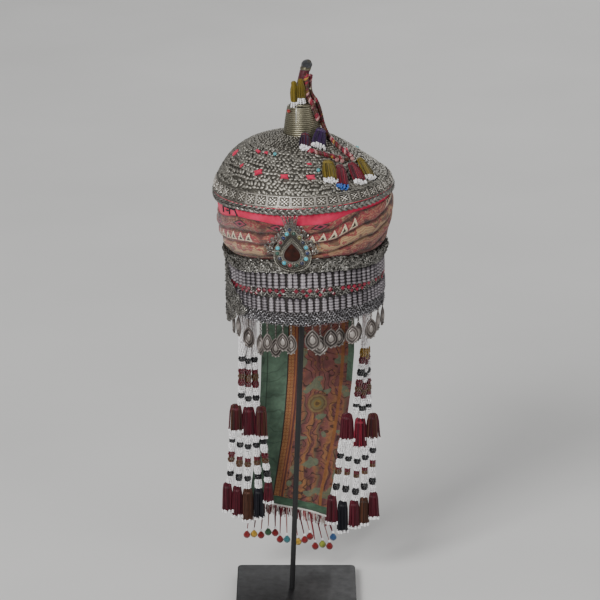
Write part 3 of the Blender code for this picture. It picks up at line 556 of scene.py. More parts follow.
def scarf_cotton():
    """Thin printed cotton: each fold shows its own part of the print, and painted shade darkens its creases
    and fine wrinkles.

    The print repeats every fourth fold: plain streaks, lines, a row of triangles and a row of lozenges.
    """
    triangle, lozenge = 12.8, 49.2
    material, add, feed = new_material("block_printed_cotton", cloth_settings(0.85, 0.25))
    uv, u, v = flat_place(add)
    fold = add("MULTIPLY_ADD", u, FOLDS_ROUND / SCARF_WIDE, add("MULTIPLY", v, FOLDS_UP / SCARF_HIGH))
    for turns, amount, shift in FOLD_WAVES:
        fold = add("MULTIPLY_ADD", wave(add, u, SCARF_WIDE / turns, shift), amount, fold)
    inner, fourth = add("FRACT", fold), add("FRACT", add("MULTIPLY", fold, 0.25))
    soft = add("TexNoise", uv, Scale=0.06, Detail=4.0)
    fine = add("TexNoise", uv, Scale=0.32, Detail=3.0)
    ground = add("FRACT", add("MULTIPLY", add("MULTIPLY_ADD", soft, 0.5, fold), 0.25))
    stops = ((0.0, "#70342f"), (0.2, "#8c463e"), (0.28, "#a07d5a"), (0.5, "#bd976c"), (0.56, "#8e3a3a"))
    stops += ((0.72, "#a8574a"), (0.78, "#59302c"), (0.9, "#7c483e"), (1.0, "#70342f"))
    tint = add("ValToRGB", ground, stops=stops)
    tint = add("Mix", add("MapRange", fine, 0.45, 0.62, 0.0, 0.6), tint, "#a98a6a")
    bend = add("MULTIPLY_ADD", soft, 46.0, add("MULTIPLY", fold, 13.0))
    tint = tinted(add, tint, "#8e2436", add("GREATER_THAN", wave(add, bend, 11.0), 0.6), 0.8)
    tint = add("Mix", add("MapRange", soft, 0.54, 0.62, 0.0, 0.75), tint, "#432622")
    shown = add("GREATER_THAN", wave(add, u, 128.0, 0.35), -0.35)
    shown = add("MULTIPLY", within(add, fourth, 0.5, 0.75), shown)
    aside = add("ABSOLUTE", centred(add, add("MULTIPLY_ADD", inner, -3.5, u), triangle))
    slope = add("MULTIPLY_ADD", aside, 2.0, add("MULTIPLY_ADD", inner, 1.3, -0.36))
    reach = add("MAXIMUM", slope, add("MULTIPLY_ADD", inner, -4.0, 1.5))
    for limit, code in ((1.02, "#8e2436"), (0.80, "#d9c9a8"), (0.42, "#161211")):
        tint = tinted(add, tint, code, shown, add("LESS_THAN", reach, limit))
    eye_u = add("ABSOLUTE", centred(add, add("ADD", u, 6.0), lozenge))
    eye_v = add("MULTIPLY", add("ABSOLUTE", add("SUBTRACT", inner, 0.5)), 3.0)
    eye = add("MULTIPLY_ADD", eye_u, 4.2, eye_v)
    for limit, code in ((1.0, "#1a1314"), (0.74, "#8e3348"), (0.34, "#1a1314")):
        tint = tinted(add, tint, code, add("GREATER_THAN", fourth, 0.75), add("LESS_THAN", eye, limit))
    # Painted shade: the creases between folds are darkened, more in some places than in others
    deep = add("MapRange", add("ABSOLUTE", wave(add, fold, 2.0)), 0.1, 0.62, 0.95, 0.0)
    tint = tinted(add, tint, "#24130f", deep, add("MapRange", soft, 0.35, 0.6, 0.55, 1.0))
    # Fine wrinkles: their wave feeds the bump, and painted shade darkens their hollows
    streak = add("ABSOLUTE", wave(add, add("MULTIPLY_ADD", soft, 0.6, fold), 0.34))
    feed("Base Color", add("Mix", add("MapRange", streak, 0.0, 0.5, 0.75, 0.0), tint, "#45281f"))
    height = add("MULTIPLY_ADD", streak, 1.5, weave(add, u, v, 1.0))
    feed("Normal", add("Bump", Strength=0.6, Distance=0.25 * MM, Height=height))
    return material


def dark_silver():
    """Blackened silver behind the raised work, which takes nearly all the light out of the gaps."""
    material, add, feed = new_material("blackened_silver_backing", {"Metallic": 0.45})
    place = add("TexCoord", output="Object")
    tarnish = add("TexNoise", place, Scale=1000 / 6.0, Detail=4.0)
    feed("Base Color", add("ValToRGB", tarnish, stops=((0.3, "#35322e"), (0.7, "#5c584f"))))
    rubbed = add("TexNoise", place, Scale=1000 / 2.0, Detail=3.0)
    feed("Roughness", add("MapRange", rubbed, 0.3, 0.7, 0.45, 0.7))
    return material


def dark_cloth():
    """Felted black lining behind the band's rows, seen only in the gaps between them."""
    material, add, feed = new_material("black_wool_backing", cloth_settings(0.95, 0.2))
    place = add("TexCoord", output="Object")
    tufts = add("TexNoise", place, Scale=1000 / 3.0, Detail=4.0)
    feed("Base Color", add("ValToRGB", tufts, stops=((0.3, "#151313"), (0.7, "#383231"))))
    fibres = add("TexNoise", place, Scale=1000 / 1.2, Detail=3.0)
    feed("Normal", add("Bump", Strength=0.6, Distance=0.3 * MM, Height=fibres))
    return material


def paint_nodes(names, material):
    """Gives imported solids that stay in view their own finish."""
    for name in names:
        for material_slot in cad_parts[name].material_slots:
            material_slot.material = material


# The cap, from its lining out


def lathe(name, rows, material, columns=128):
    """A closed surface turned round the cap from rows of a place function or of radius and height."""
    angles = np.linspace(0, math.tau, columns, endpoint=False)
    grid = np.array([row(angles) if callable(row) else polar(row[0], angles, row[1]) for row in rows])
    steps = np.linalg.norm(np.diff(grid[:, 0], axis=0), axis=1)
    along = np.concatenate(([0.0], np.cumsum(steps)))
    along = np.append(along, along[-1] + 2.0)
    u, v = np.meshgrid(np.linspace(0, CAP_GIRTH, columns + 1), along)
    grid = cap_to_row(np.concatenate((grid, grid[:1])))
    return skin(name, grid, material, np.stack((u, v), axis=-1), wrap=True)


def crown_row(radius, inset):
    """A row of the crown's surface at a radius, lying an inset below the plates' outer face."""

    def place(angles):
        points = polar(radius, angles, 0.0)
        share = min(radius / (CROWN_RADIUS - inset), 1.0)
        rise = (CROWN_APEX - inset - CROWN_RIM) * (1 - share**CROWN_POWER) ** CROWN_FULLNESS
        slump = CROWN_SLUMP * 4 * (points[:, 0] / CROWN_RADIUS) * share * (1 - share**3)
        points[:, 2] = CROWN_RIM + rise - slump
        return points

    return place


def make_cap_lining(material):
    """The sewn cotton cap under the metal: its wall, its rolled lower edge and its hollow inside."""
    thick, inset = 2.2, 1.9
    rows = [crown_row(radius, inset + thick) for radius in (0.5, 25.0, 45.0, 66.0, 84.0, 95.0, 101.5)]
    rows += [(wall_radius(height) - thick, height) for height in (131.0, 110.0, 90.0, 66.0, 40.0, 20.0, 6.2)]
    rows += [(wall_radius(5.0) - 1.1, 5.0)]
    rows += [(wall_radius(height), height) for height in (6.2, 20.0, 45.0, 66.0, 90.0, 110.0, 131.0, 141.5)]
    rows += [(CROWN_RADIUS - inset - 0.1, CROWN_RIM - 3.0), (CROWN_RADIUS - inset - 0.1, CROWN_RIM - 0.4)]
    rows += [crown_row(radius, inset) for radius in (101.5, 95.0, 84.0, 60.0, 30.0, 0.5)]
    lining = lathe("cap_lining", rows, material)
    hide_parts("cap_cloth")


# Where coral cloth shows through the plates: place in plan, half width and turn
CROWN_PATCHES = (
    (-51.0, -69.0, 5.6, 0.5),
    (-20.5, -83.0, 5.2, 0.1),
    (10.3, -83.6, 5.6, 0.0),
    (-78.0, -13.5, 4.8, 1.2),
    (-51.5, -38.5, 3.6, 2.9),
    (9.0, -68.0, 3.2, 0.2),
    (52.9, -18.2, 3.4, 0.4),
    (-70.5, -47.5, 3.0, 0.9),
    (-41.5, -46.5, 2.8, 0.3),
)
CROWN_BEADS = ((-31.0, -53.1), (19.0, -74.0), (66.0, 30.0), (-20.0, 70.0))
PLATE_PITCH, ROW_PITCH = 5.3, 4.05


def crown_grid():
    """The radii of the rows of the crown's plates, from the rim band inwards."""
    rows, radius = [], 100.6
    while radius > 52.0:
        slope = crown_height(0.0, radius - 0.5) - crown_height(0.0, radius + 0.5)
        rows.append(radius)
        radius -= ROW_PITCH / math.hypot(1.0, float(slope))
    return rows


def make_crown_plates(material):
    """Small domed plates in rows, turned one way and then the other so that they read as plaited."""
    rng = np.random.default_rng(7)
    curl = stacked(((1.0, -0.9), (0.96, 0.1), (0.72, 0.8), (0.34, 1.15)), sides=8)
    shape, faces = moved(curl, scale=(3.75, 2.25, 1.0))
    x, y, turn, size = [], [], [], []
    for number, radius in enumerate(crown_grid()):
        count = round(math.tau * radius / PLATE_PITCH)
        for i in range(count):
            angle = math.tau * (i + 0.5 * (number % 2)) / count + rng.normal(0, 0.006)
            reach = radius + rng.normal(0, 0.45) + 0.8 * math.sin(7 * angle + number)
            px, py = reach * math.sin(angle), -reach * math.cos(angle)
            if any(math.hypot(px - cx, py - cy) < 0.72 * wide for cx, cy, wide, _ in CROWN_PATCHES):
                continue
            x.append(px)
            y.append(py)
            sway = 26 * math.sin(5 * angle + number * 0.7) + 14 * math.sin(11 * angle - number)
            turn.append(math.radians((30 if number % 2 else -30) + sway + rng.normal(0, 16)))
            size.append(rng.uniform(0.82, 1.12))
    placed = lay_on_crown(shape, np.array(x), np.array(y), np.array(turn), np.array(size))
    plates = copies("crown_plates", (shape, faces), cap_to_row(placed), material, seed=3, smooth=50.0)


def make_crown_grains(material):
    """Finer grains fill the top of the crown, up to the finial's foot."""
    rng = np.random.default_rng(11)
    grain = stacked(((1.0, -0.4), (0.95, 0.35), (0.55, 0.9)), sides=6)
    shape, faces = moved(grain, scale=(1.9, 1.7, 1.0))
    x, y = [], []
    radius, number = 52.5, 0
    while radius > 19.0:
        count = round(math.tau * radius / 3.9)
        for i in range(count):
            angle = math.tau * (i + 0.5 * (number % 2)) / count + rng.normal(0, 0.02)
            px, py = radius * math.sin(angle), -radius * math.cos(angle)
            if math.hypot(px - 2.0, py) > 22.0:
                x.append(px)
                y.append(py)
        radius -= 3.3
        number += 1
    x, y = np.array(x), np.array(y)
    placed = lay_on_crown(shape, x, y, rng.uniform(0, 3.1, len(x)), rng.uniform(0.75, 1.15, len(x)))
    grains = copies("crown_grains", (shape, faces), cap_to_row(placed), material, seed=5, smooth=50.0)


def make_crown_patches(material):
    """Coral cloth shows through where a plate has been cut to a triangle."""
    outline = [(0.9, 0.5), (0.7, 0.0), (0.95, -0.6), (0.1, -0.42)]
    outline += [(-0.95, -0.6), (-0.72, -0.1), (-1.0, 0.45), (-0.25, 0.4)]
    patch = stacked(((1.0, -0.8), (1.0, 0.2), (0.75, 0.45)), outline)
    x, y, wide, turn = np.array(CROWN_PATCHES).T
    placed = lay_on_crown(patch[0], x, y, turn, wide, 0.2)
    patches = copies("crown_cloth_patches", patch, cap_to_row(placed), material, seed=4, smooth=60)
    patches.data.uv_layers.new(name="flat")


def make_crown_beads(material):
    bead = round_bead(2.3, 12, 8)
    x, y = np.array(CROWN_BEADS).T
    placed = lay_on_crown(bead[0] * np.array((1.0, 1.0, 0.8)), x, y, lift=1.3)
    beads = copies("crown_turquoise_beads", bead, cap_to_row(placed), material, seed=2, smooth=0)


RIM_PLATES = 46


def make_rim_plates(material):
    """Square stamped plates all round the rim, each with a raised frame, four petals and a boss."""
    square = [(-1, -1), (1, -1), (1, 1), (-1, 1)]
    frame_layers = ((1.0, -0.6), (0.99, 0.3), (0.95, 0.7), (0.88, 0.7), (0.82, 0.0))
    base = moved(stacked(frame_layers, square), scale=(6.9, 5.7, 1.0))
    petal = stacked(((1.0, -0.1), (0.9, 0.9), (0.45, 1.7)), sides=8)
    parts = [base]
    for number in range(4):
        turn = math.pi / 4 + number * math.pi / 2
        leaf = moved(petal, (2.9, 0.0, 0.0), (2.3, 0.85, 1.0))
        parts.append(moved(moved(leaf, turn=turn), scale=(1.15, 0.9, 1.0)))
        dot = moved(petal, (3.3, 0.0, 0.0), (1.1, 0.8, 0.8))
        parts.append(moved(moved(dot, turn=turn - math.pi / 4), scale=(1.25, 1.0, 1.0)))
    parts.append(moved(stacked(((1.0, 0.0), (0.85, 1.1), (0.4, 1.6)), sides=8), scale=(1.3, 1.3, 1.0)))
    shape, faces = joined(*parts)
    rng = np.random.default_rng(6)
    placed = []
    for i in range(RIM_PLATES):
        angle = math.tau * (i + 0.5) / RIM_PLATES
        rim = polar(102.0, angle, 0.0)
        top = np.array((102.4, float(crown_height(rim[0], rim[1])) + 0.9))
        foot = np.array((107.7, 154.3))
        run = top - foot
        length = np.hypot(*run)
        run = run / length
        out = np.array((run[1], -run[0]))
        middle = (top + foot) / 2
        across = shape[:, 0] / middle[0] * 1.03
        stretch = length / 11.4
        radius = middle[0] + shape[:, 1] * run[0] * stretch + shape[:, 2] * out[0]
        height = middle[1] + shape[:, 1] * run[1] * stretch + shape[:, 2] * out[1]
        placed.append(polar(radius, angle + across, height))
    around = math.tau * (np.arange(RIM_PLATES) + 0.5) / RIM_PLATES
    # Painted light: the plates toward the front get a lighter tone, where the light falls on them
    painted_front_light = 0.45 + 0.8 * smooth_step((np.cos(around + 0.08) - 0.7) / 0.25) + rng.normal(0, 0.08, RIM_PLATES)
    plates = copies("rim_plates", (shape, faces), cap_to_row(placed), material, tone=painted_front_light, smooth=35.0)


def make_rim_plait(material):
    """Three strands of silver wire plaited into the rounded edge of the crown."""
    periods, steps = 31, 14
    angle = np.linspace(0, math.tau, periods * steps, endpoint=False)
    runs = []
    for number in range(3):
        phase = angle * periods + number * math.tau / 3
        radius = 106.9 + 1.15 * np.sin(2 * phase) + 0.3 * np.sin(9 * angle)
        height = 148.7 + 3.0 * np.sin(phase) + 0.5 * np.sin(7 * angle)
        runs.append(cap_to_row(polar(radius, angle, height)))
    plait = strands("rim_plait", runs, 1.75, material, sides=6, closed=True, tones=(0.2, 0.5, 0.8))
    wire = [cap_to_row(polar(107.9, angle, 153.6))]
    line = strands("rim_wire", wire, 0.6, SILVER["plain"], sides=6, closed=True, tones=(0.5,))


# Strokes of the hook stitched on the coral cloth: angle round the cap and height at each end
HOOK_STROKES = (
    (-65.6, 141.5, -66.0, 133.5),
    (-65.4, 141.4, -50.8, 142.2),
    (-56.6, 141.8, -57.3, 134.5),
    (-61.5, 137.6, -56.8, 138.2),
    (-50.8, 142.2, -48.6, 134.6),
)


def make_stitched_hook(material):
    """Black thread couched on the coral cloth in a hooked sign, under the rim on the viewer's left."""
    runs = []
    for first, start, last, stop in HOOK_STROKES:
        angle = np.radians(np.linspace(first, last, 14))
        height = np.linspace(start, stop, 14)
        runs.append(cap_to_row(polar(wall_radius(height) + 0.5, angle, height)))
    dyes, tones = {"dye": [DYES["navy"]] * len(runs)}, [0.1] * len(runs)
    hook = strands("stitched_hook", runs, 1.0, material, tones=tones, marks=dyes)


def make_rim_piping(material):
    """A thin line of coral cloth caught between the rim's plates and its plait."""
    angle = np.linspace(0, math.tau, 240, endpoint=False)
    run = cap_to_row(polar(107.3, angle, 152.9))
    piping = strands("rim_piping", [run], 0.9, material, closed=True, tones=(0.5,))
    piping.data.uv_layers.new(name="flat")


# How far the scarf stands off the cap at each share of its height, and its size laid flat
SCARF_SWELL = (
    (0.0, 2.2), (0.08, 4.4), (0.22, 3.6), (0.36, 4.6), (0.52, 3.6), (0.66, 4.2), (0.84, 2.4), (1.0, 1.3),
)
SCARF_WIDE, SCARF_HIGH = 640.0, 62.0
# The fold number at a place on the cloth: folds up its height, then waves round it as turns, amount and shift
FOLDS_UP, FOLDS_ROUND = 3.2, -4
FOLD_WAVES = ((1, 0.477, math.pi / 2), (3, 0.12, 1.0), (7, 0.07, 0.0), (13, 0.04, 2.0), (22, 0.025, 0.6))


def scarf_edges(angle):
    side = np.sin(angle)
    low = settled(87.2, angle)
    high = 131.0 + 9.0 * smooth_step((side - 0.2) / 0.4)
    high = high + 4.0 * smooth_step((-side - 0.2) / 0.4) - 9.0 * smooth_step((-side - 0.75) / 0.25)
    return low, high


def make_scarf(material):
    """The scarf wound round the cap's wall: folds with narrow creases that climb to the viewer's right."""
    columns, rows = 420, 54
    angle = np.linspace(0, math.tau, columns, endpoint=False)[None, :]
    share = np.linspace(0, 1, rows)[:, None]
    low, high = scarf_edges(angle)
    height = low + (high - low) * share
    fold = FOLDS_UP * share + FOLDS_ROUND * angle / math.tau
    for turns, amount, shift in FOLD_WAVES:
        fold = fold + amount * np.sin(turns * angle + shift)
    ridge = np.abs(np.sin(math.pi * fold)) ** 0.55
    ripple = 0.5 * np.abs(np.sin(math.pi * fold * 3.3 + 2 * np.sin(3 * angle)))
    ripple = ripple + 0.2 * np.sin(angle * 23 + share * 9)
    ease = np.sin(share * math.pi) ** 0.5
    off = np.interp(share, *zip(*SCARF_SWELL)) * 0.6 + (ridge * 3.7 + ripple) * ease + 0.5
    front = polar(wall_radius(height) + off, angle + 0 * height, height)
    back = polar(wall_radius(height) + off - 1.0, angle + 0 * height, height)
    uv = even_uv(rows, columns + 1, SCARF_WIDE, SCARF_HIGH)
    scarf = skin("scarf_cloth", cap_to_row(front), material, uv, back=cap_to_row(back), wrap=True)
    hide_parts("scarf_wrap")


def make_mail_twist(material):
    """Chain mail rolled and twisted into a fat ring: strands of small links round a dark core."""
    rng = np.random.default_rng(21)
    link = wire_ring(1.75, 0.53, 7, 3, 1.2)
    placed = []
    for i in range(2500):
        angle = math.tau * ((i * 0.618034) % 1.0)
        turn = rng.uniform(-1.75, 1.45)
        lump = 0.9 * math.sin(9 * angle + 2.2 * turn) + 0.5 * math.sin(23 * angle - turn)
        out = 2.2 + (4.6 + lump) * math.cos(turn)
        height = 78.4 + (8.2 + 0.6 * lump) * math.sin(turn)
        if out < 0.6:
            continue
        middle = polar(wall_radius(height) + out, angle, settled(height, angle))
        shape = turned(link[0], rng.normal(0, 0.6), "X")
        heading = math.radians(35) * math.sin(4 * angle) + rng.normal(0, 0.5)
        placed.append(set_upright(shape, middle, angle, turn=heading, tip=turn * 0.8))
    mail = copies("mail_links", link, cap_to_row(placed), material, seed=8, smooth=60)


TUBES = 72


def make_tube_row(name, node, low, high, material):
    """Upright pressed-silver tubes side by side, each wound in rings and pointed at its top."""
    rng = np.random.default_rng(90 + round(low))
    levels = 4
    layers = [(0.62, 0.0)]
    for number in range(levels):
        start = 0.80 * number / levels
        bulge = ((0.82, 0.012), (1.0, 0.07), (1.0, 0.13), (0.82, 0.188))
        layers += [(wide, start + height) for wide, height in bulge]
    layers += [(0.92, 0.82), (0.85, 0.90), (0.5, 0.965), (0.15, 1.0)]
    shape, faces = stacked(layers, sides=8)
    placed = []
    for i in range(TUBES):
        angle = math.tau * (i + 0.5 + rng.normal(0, 0.04)) / TUBES
        shift = float(settled(high, angle)) - high + rng.normal(0, 0.25)
        points = shape * np.array((3.4 * rng.uniform(0.92, 1.08), 2.6, high - low + 0.4))
        lean = rng.normal(0, 0.02)
        x = (points[:, 0] + points[:, 2] * lean) * math.cos(angle) + points[:, 1] * math.sin(angle)
        y = (points[:, 0] + points[:, 2] * lean) * math.sin(angle) - points[:, 1] * math.cos(angle)
        placed.append(polar(92.6, angle, low + shift) + np.stack((x, y, points[:, 2]), axis=-1))
    around = math.tau * (np.arange(TUBES) + 0.5) / TUBES
    # Painted light: tubes toward the front get a lighter tone, where the light falls on them, with some
    # random spread
    painted_front_light = 0.9 * smooth_step((np.cos(around + 0.12) - 0.75) / 0.25) - 0.2 + rng.normal(0, 0.2, TUBES)
    row = copies(name, (shape, faces), cap_to_row(placed), material, tone=painted_front_light, seed=9, smooth=60)
    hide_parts(node)
    radial = np.hypot(shape[:, 0], shape[:, 1])
    groove = np.tile(0.42 + 0.58 * np.clip((radial - 0.8) / 0.2, 0, 1) ** 1.5, TUBES)
    row.data.attributes["relief"].data.foreach_set("value", groove.astype(np.float32))


def make_band_backing(material):
    """The strip of black cloth that the band's rows are sewn on."""

    def at(radius, height):
        return lambda angles: polar(radius, angles, settled(height, angles))

    rows = [at(90.3, 4.4), at(90.3, 20.0), at(90.3, 44.0), at(90.3, 69.2)]
    rows += [at(92.3, 69.2), at(92.3, 44.0), at(92.3, 20.0), at(91.6, 4.4)]
    lathe("band_backing", rows, material)


def make_bead_lattice(material, mesh_material):
    """Red glass lozenges between the rows of tubes, held in a net of fine rings."""
    lozenge = stacked(((0.62, -0.9), (1.0, 0.2), (0.94, 0.8), (0.45, 1.6)), sides=4)
    rng, placed = np.random.default_rng(13), []
    for i in range(TUBES):
        angle = math.tau * (i + 0.5) / TUBES
        if rng.random() < 0.9:
            middle = polar(93.2, angle, float(settled(46.8, angle)))
            placed.append(set_upright(lozenge[0] * np.array((3.3, 3.1, 1.0)), middle, angle))
        if rng.random() < 0.45:
            middle = polar(93.2, angle + math.pi / TUBES, float(settled(41.2, angle)))
            placed.append(set_upright(lozenge[0] * np.array((2.7, 2.5, 1.0)), middle, angle))
    beads = copies("red_lozenges", lozenge, cap_to_row(placed), material, seed=10, smooth=0)
    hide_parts("bead_row")
    link = wire_ring(1.35, 0.45, 7, 3, 1.2)
    placed = []
    for row, height in enumerate((39.3, 41.7, 44.2, 46.7, 49.1)):
        for i in range(150):
            angle = math.tau * (i + 0.5 * (row % 2)) / 150
            middle = polar(92.9, angle, float(settled(height, angle)) + rng.normal(0, 0.2))
            placed.append(set_upright(link[0], middle, angle, rng.normal(0, 0.6), rng.normal(0, 0.5)))
    net = copies("red_lozenge_net", link, cap_to_row(placed), mesh_material, seed=11, smooth=60)


def make_hem_mail(material):
    """Fine chain mail below the tubes: rows of small rings, each row half a step from the last."""
    link = wire_ring(1.8, 0.45, 8, 3)
    rng = np.random.default_rng(17)
    placed = []
    for row, height in enumerate((18.2, 15.4, 12.6, 9.8, 7.0, 4.6)):
        count = 176
        for i in range(count):
            angle = math.tau * (i + 0.5 * (row % 2)) / count
            middle = polar(92.3 + rng.normal(0, 0.2), angle, height + rng.normal(0, 0.2))
            turn, tip = rng.normal(0, 0.4), rng.normal(0.0, 0.35) + (0.5 if i % 2 else -0.5)
            placed.append(set_upright(link[0], middle, angle, turn=turn, tip=tip))
    hem = copies("hem_mail", link, cap_to_row(placed), material, seed=12, smooth=60)
    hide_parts("mail_hem")


def make_side_mail(material):
    """A loose flap of mail over the viewer's left of the band, whose near edge slants down to the front."""
    link = wire_ring(2.05, 0.58, 8, 3)
    rng = np.random.default_rng(19)
    placed = []
    for degrees in np.arange(-105.2, -49.0, 1.8):
        foot = 15.0 - 32.0 * min(1.0, (-degrees - 48) / 42)
        swell = 1.0 + 1.2 * math.sin(math.radians(degrees * 3))
        height, row = 60.0, 0
        while height > foot - 1.0:
            edge = np.interp(height, (15.0, 61.0), (-49.0, -82.0)) + 1.5 * math.sin(height * 0.5)
            if degrees < edge:
                heights = (foot - 1.5, foot + 6.0, 36.0, 61.0)
                out = np.interp(height, heights, (1.4, 1.4 + swell, 1.8, 1.5))
                out += 0.9 * math.sin(height * 0.35 + degrees * 0.2) * (degrees > -96)
                angle = math.radians(degrees + 0.9 * (row % 2) + rng.normal(0, 0.15))
                middle = polar(BAND_RADIUS + 0.4 + out, angle, height)
                placed.append(set_upright(link[0], middle, angle, rng.normal(0, 0.5), rng.normal(0, 0.6)))
            height -= 2.7
            row += 1
    mail = copies("side_mail", link, cap_to_row(placed), material, seed=14, smooth=60)
    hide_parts("side_mail_drape")


# The teardrop ornament on the forehead


def pear_points(wide, high, count, middle=0.0):
    """Points at even distances round a teardrop, its point up."""
    turn = np.linspace(0, math.tau, 241)
    across = wide / 2 * np.sin(turn) * np.sin(turn / 2) / 0.77
    fine = np.stack((across, middle + high / 2 * np.cos(turn)), axis=-1)
    along = np.concatenate(([0.0], np.cumsum(np.hypot(*np.diff(fine, axis=0).T))))
    marks = along[-1] * np.arange(count) / count
    return np.stack((np.interp(marks, along, fine[:, 0]), np.interp(marks, along, fine[:, 1])), axis=-1)


SETTING_ANGLE, SETTING_LEAN = math.radians(-8.1), math.radians(6.6)


def on_setting(points):
    """The ornament's own frame, x across, y out of the cap and z up, turned into the row's."""
    points = np.asarray(points, float) * np.array((1.0, -1.0, 1.0))
    matrix = Matrix.Rotation(SETTING_ANGLE, 3, "Z") @ Matrix.Rotation(SETTING_LEAN, 3, "X")
    return cap_to_row(points @ np.array(matrix).T + polar(103.4, SETTING_ANGLE, 102.5))


def flat_to_out(shape):
    """Turns a shape built upwards to face out of the ornament."""
    points, faces = shape
    return np.stack((points[:, 0], points[:, 2], points[:, 1]), axis=-1), [face[::-1] for face in faces]


# Stones round the ornament's rim, in its own frame: across, up and glass
RIM_STONES = (
    (-1.4, 26.0, "blue"),
    (-5.0, 20.4, "turquoise"),
    (3.4, 21.0, "green"),
    (-9.4, 15.2, "blue"),
    (9.8, 15.8, "olive"),
    (-13.0, 9.4, "red"),
    (13.6, 9.6, "blue"),
    (-16.9, 2.3, "turquoise"),
    (16.8, 3.2, "turquoise"),
    (-17.6, -4.3, "green"),
    (18.0, -3.8, "blue"),
    (-15.0, -11.0, "blue"),
    (16.0, -11.3, "turquoise"),
    (-10.1, -16.7, "turquoise"),
    (-3.3, -19.6, "red"),
    (4.4, -19.6, "green"),
    (11.0, -16.8, "blue"),
)
STONE_GLASS = {
    "blue": ("#15204e", "#0a1026"),
    "turquoise": ("#45b4c4", "#2f98ae"),
    "green": ("#1d4a3c", "#0f2a22"),
    "olive": ("#6c6a2c", "#45431a"),
    "red": ("#7a1424", "#460a14"),
}


def round_bead(radius, segments=8, rings=5):
    bpy.ops.object.select_all(action="DESELECT")
    bpy.ops.mesh.primitive_uv_sphere_add(segments=segments, ring_count=rings, radius=radius)
    return taken_apart(bpy.context.object)


# Rings of grains on the ornament: width, height, count, height off the plate, size of a grain and drop
GRAIN_RINGS = (
    (43.6, 55.4, 78, 2.6, 1.0, 0.0),
    (26.0, 30.6, 44, 3.0, 0.95, -3.0),
    (40.0, 50.6, 84, 2.2, 0.6, 0.0),
    (28.6, 34.0, 60, 2.2, 0.6, -2.4),
    (23.4, 27.6, 40, 3.4, 0.7, -3.0),
)


def make_forehead_ornament():
    """A teardrop plate edged with grains, with glass stones in cups round a domed brown stone."""
    outline = pear_points(45.0, 57.0, 64)
    layers = ((1.0, 0.0), (1.0, 1.7), (0.965, 2.2), (0.90, 2.2), (0.885, 1.75))
    shape, faces = flat_to_out(stacked(layers, outline))
    relief = {"relief": shape[:, 1] / 4.4}
    plate = mesh_piece("forehead_plate", on_setting(shape), faces, SILVER["plate"], relief, 30)
    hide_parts("forehead_setting")
    grain = round_bead(1.0, 6, 4)
    placed = []
    for wide, high, count, out, size, drop in GRAIN_RINGS:
        for x, z in pear_points(wide, high, count, drop):
            placed.append(grain[0] * size + np.array((x, out, z)))
    for x, z, _ in RIM_STONES:
        for turn in np.linspace(0, math.tau, 10, endpoint=False):
            spot = np.array((x + 3.15 * math.cos(turn), 2.6, z + 3.15 * math.sin(turn)))
            placed.append(grain[0] * 0.62 + spot)
    grains = copies("forehead_grains", grain, on_setting(placed), SILVER["bright"], seed=22, smooth=0)
    cup = flat_to_out(stacked(((1.0, 1.2), (1.0, 3.3), (0.86, 3.3), (0.84, 2.6)), sides=14))
    cups = [cup[0] * np.array((2.9, 1.0, 2.9)) + np.array((x, 0.0, z)) for x, z, _ in RIM_STONES]
    cups = copies("forehead_cups", cup, on_setting(cups), SILVER["bright"], seed=23, smooth=30)
    dome = flat_to_out(stacked(((1.0, 2.4), (1.0, 3.3), (0.86, 4.3), (0.5, 5.0), (0.2, 5.15)), sides=14))
    for kind, (light, deep) in STONE_GLASS.items():
        material = glass_bead("foiled_glass_" + kind, light, deep, 0.08, 0.6)
        spots = [np.array((x, 0.0, z)) for x, z, glass in RIM_STONES if glass == kind]
        stones = on_setting([dome[0] * np.array((2.45, 1.0, 2.45)) + spot for spot in spots])
        copies("forehead_stones_" + kind, dome, stones, material, smooth=60)
    layers = ((1.0, 1.5), (1.0, 4.4), (0.92, 4.5), (0.9, 3.0))
    wall = flat_to_out(stacked(layers, pear_points(21.6, 25.6, 40)))
    relief = {"relief": wall[0][:, 1] / 5}
    places = on_setting(wall[0] + np.array((0.0, 0.0, -3.0)))
    bezel = mesh_piece("forehead_bezel", places, wall[1], SILVER["plate"], relief, 30)
    layers = ((1.0, 2.9), (1.0, 4.0), (0.93, 4.8), (0.8, 5.5), (0.6, 6.0), (0.35, 6.3), (0.12, 6.4))
    gem = flat_to_out(stacked(layers, pear_points(18.6, 22.6, 40)))
    places = on_setting(gem[0] + np.array((0.0, 0.0, -3.0)))
    stone = mesh_piece("forehead_gem", places, gem[1], agate(), smooth=40)
    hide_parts("forehead_stone")


def agate():
    """A polished brown-red stone, clouded inside: dark with one soft highlight."""
    settings = {"Roughness": 0.35, "IOR": 1.5, "Specular IOR Level": 0.2}
    settings.update({"Coat Weight": 0.06, "Coat Roughness": 0.1})
    material, add, feed = new_material("polished_brown_agate", settings)
    cloud = add("TexNoise", add("TexCoord", output="Object"), Scale=1000 / 9.0, Detail=5.0)
    feed("Base Color", add("ValToRGB", cloud, stops=((0.25, "#150603"), (0.5, "#300e06"), (0.75, "#4a1d0d"))))
    return material


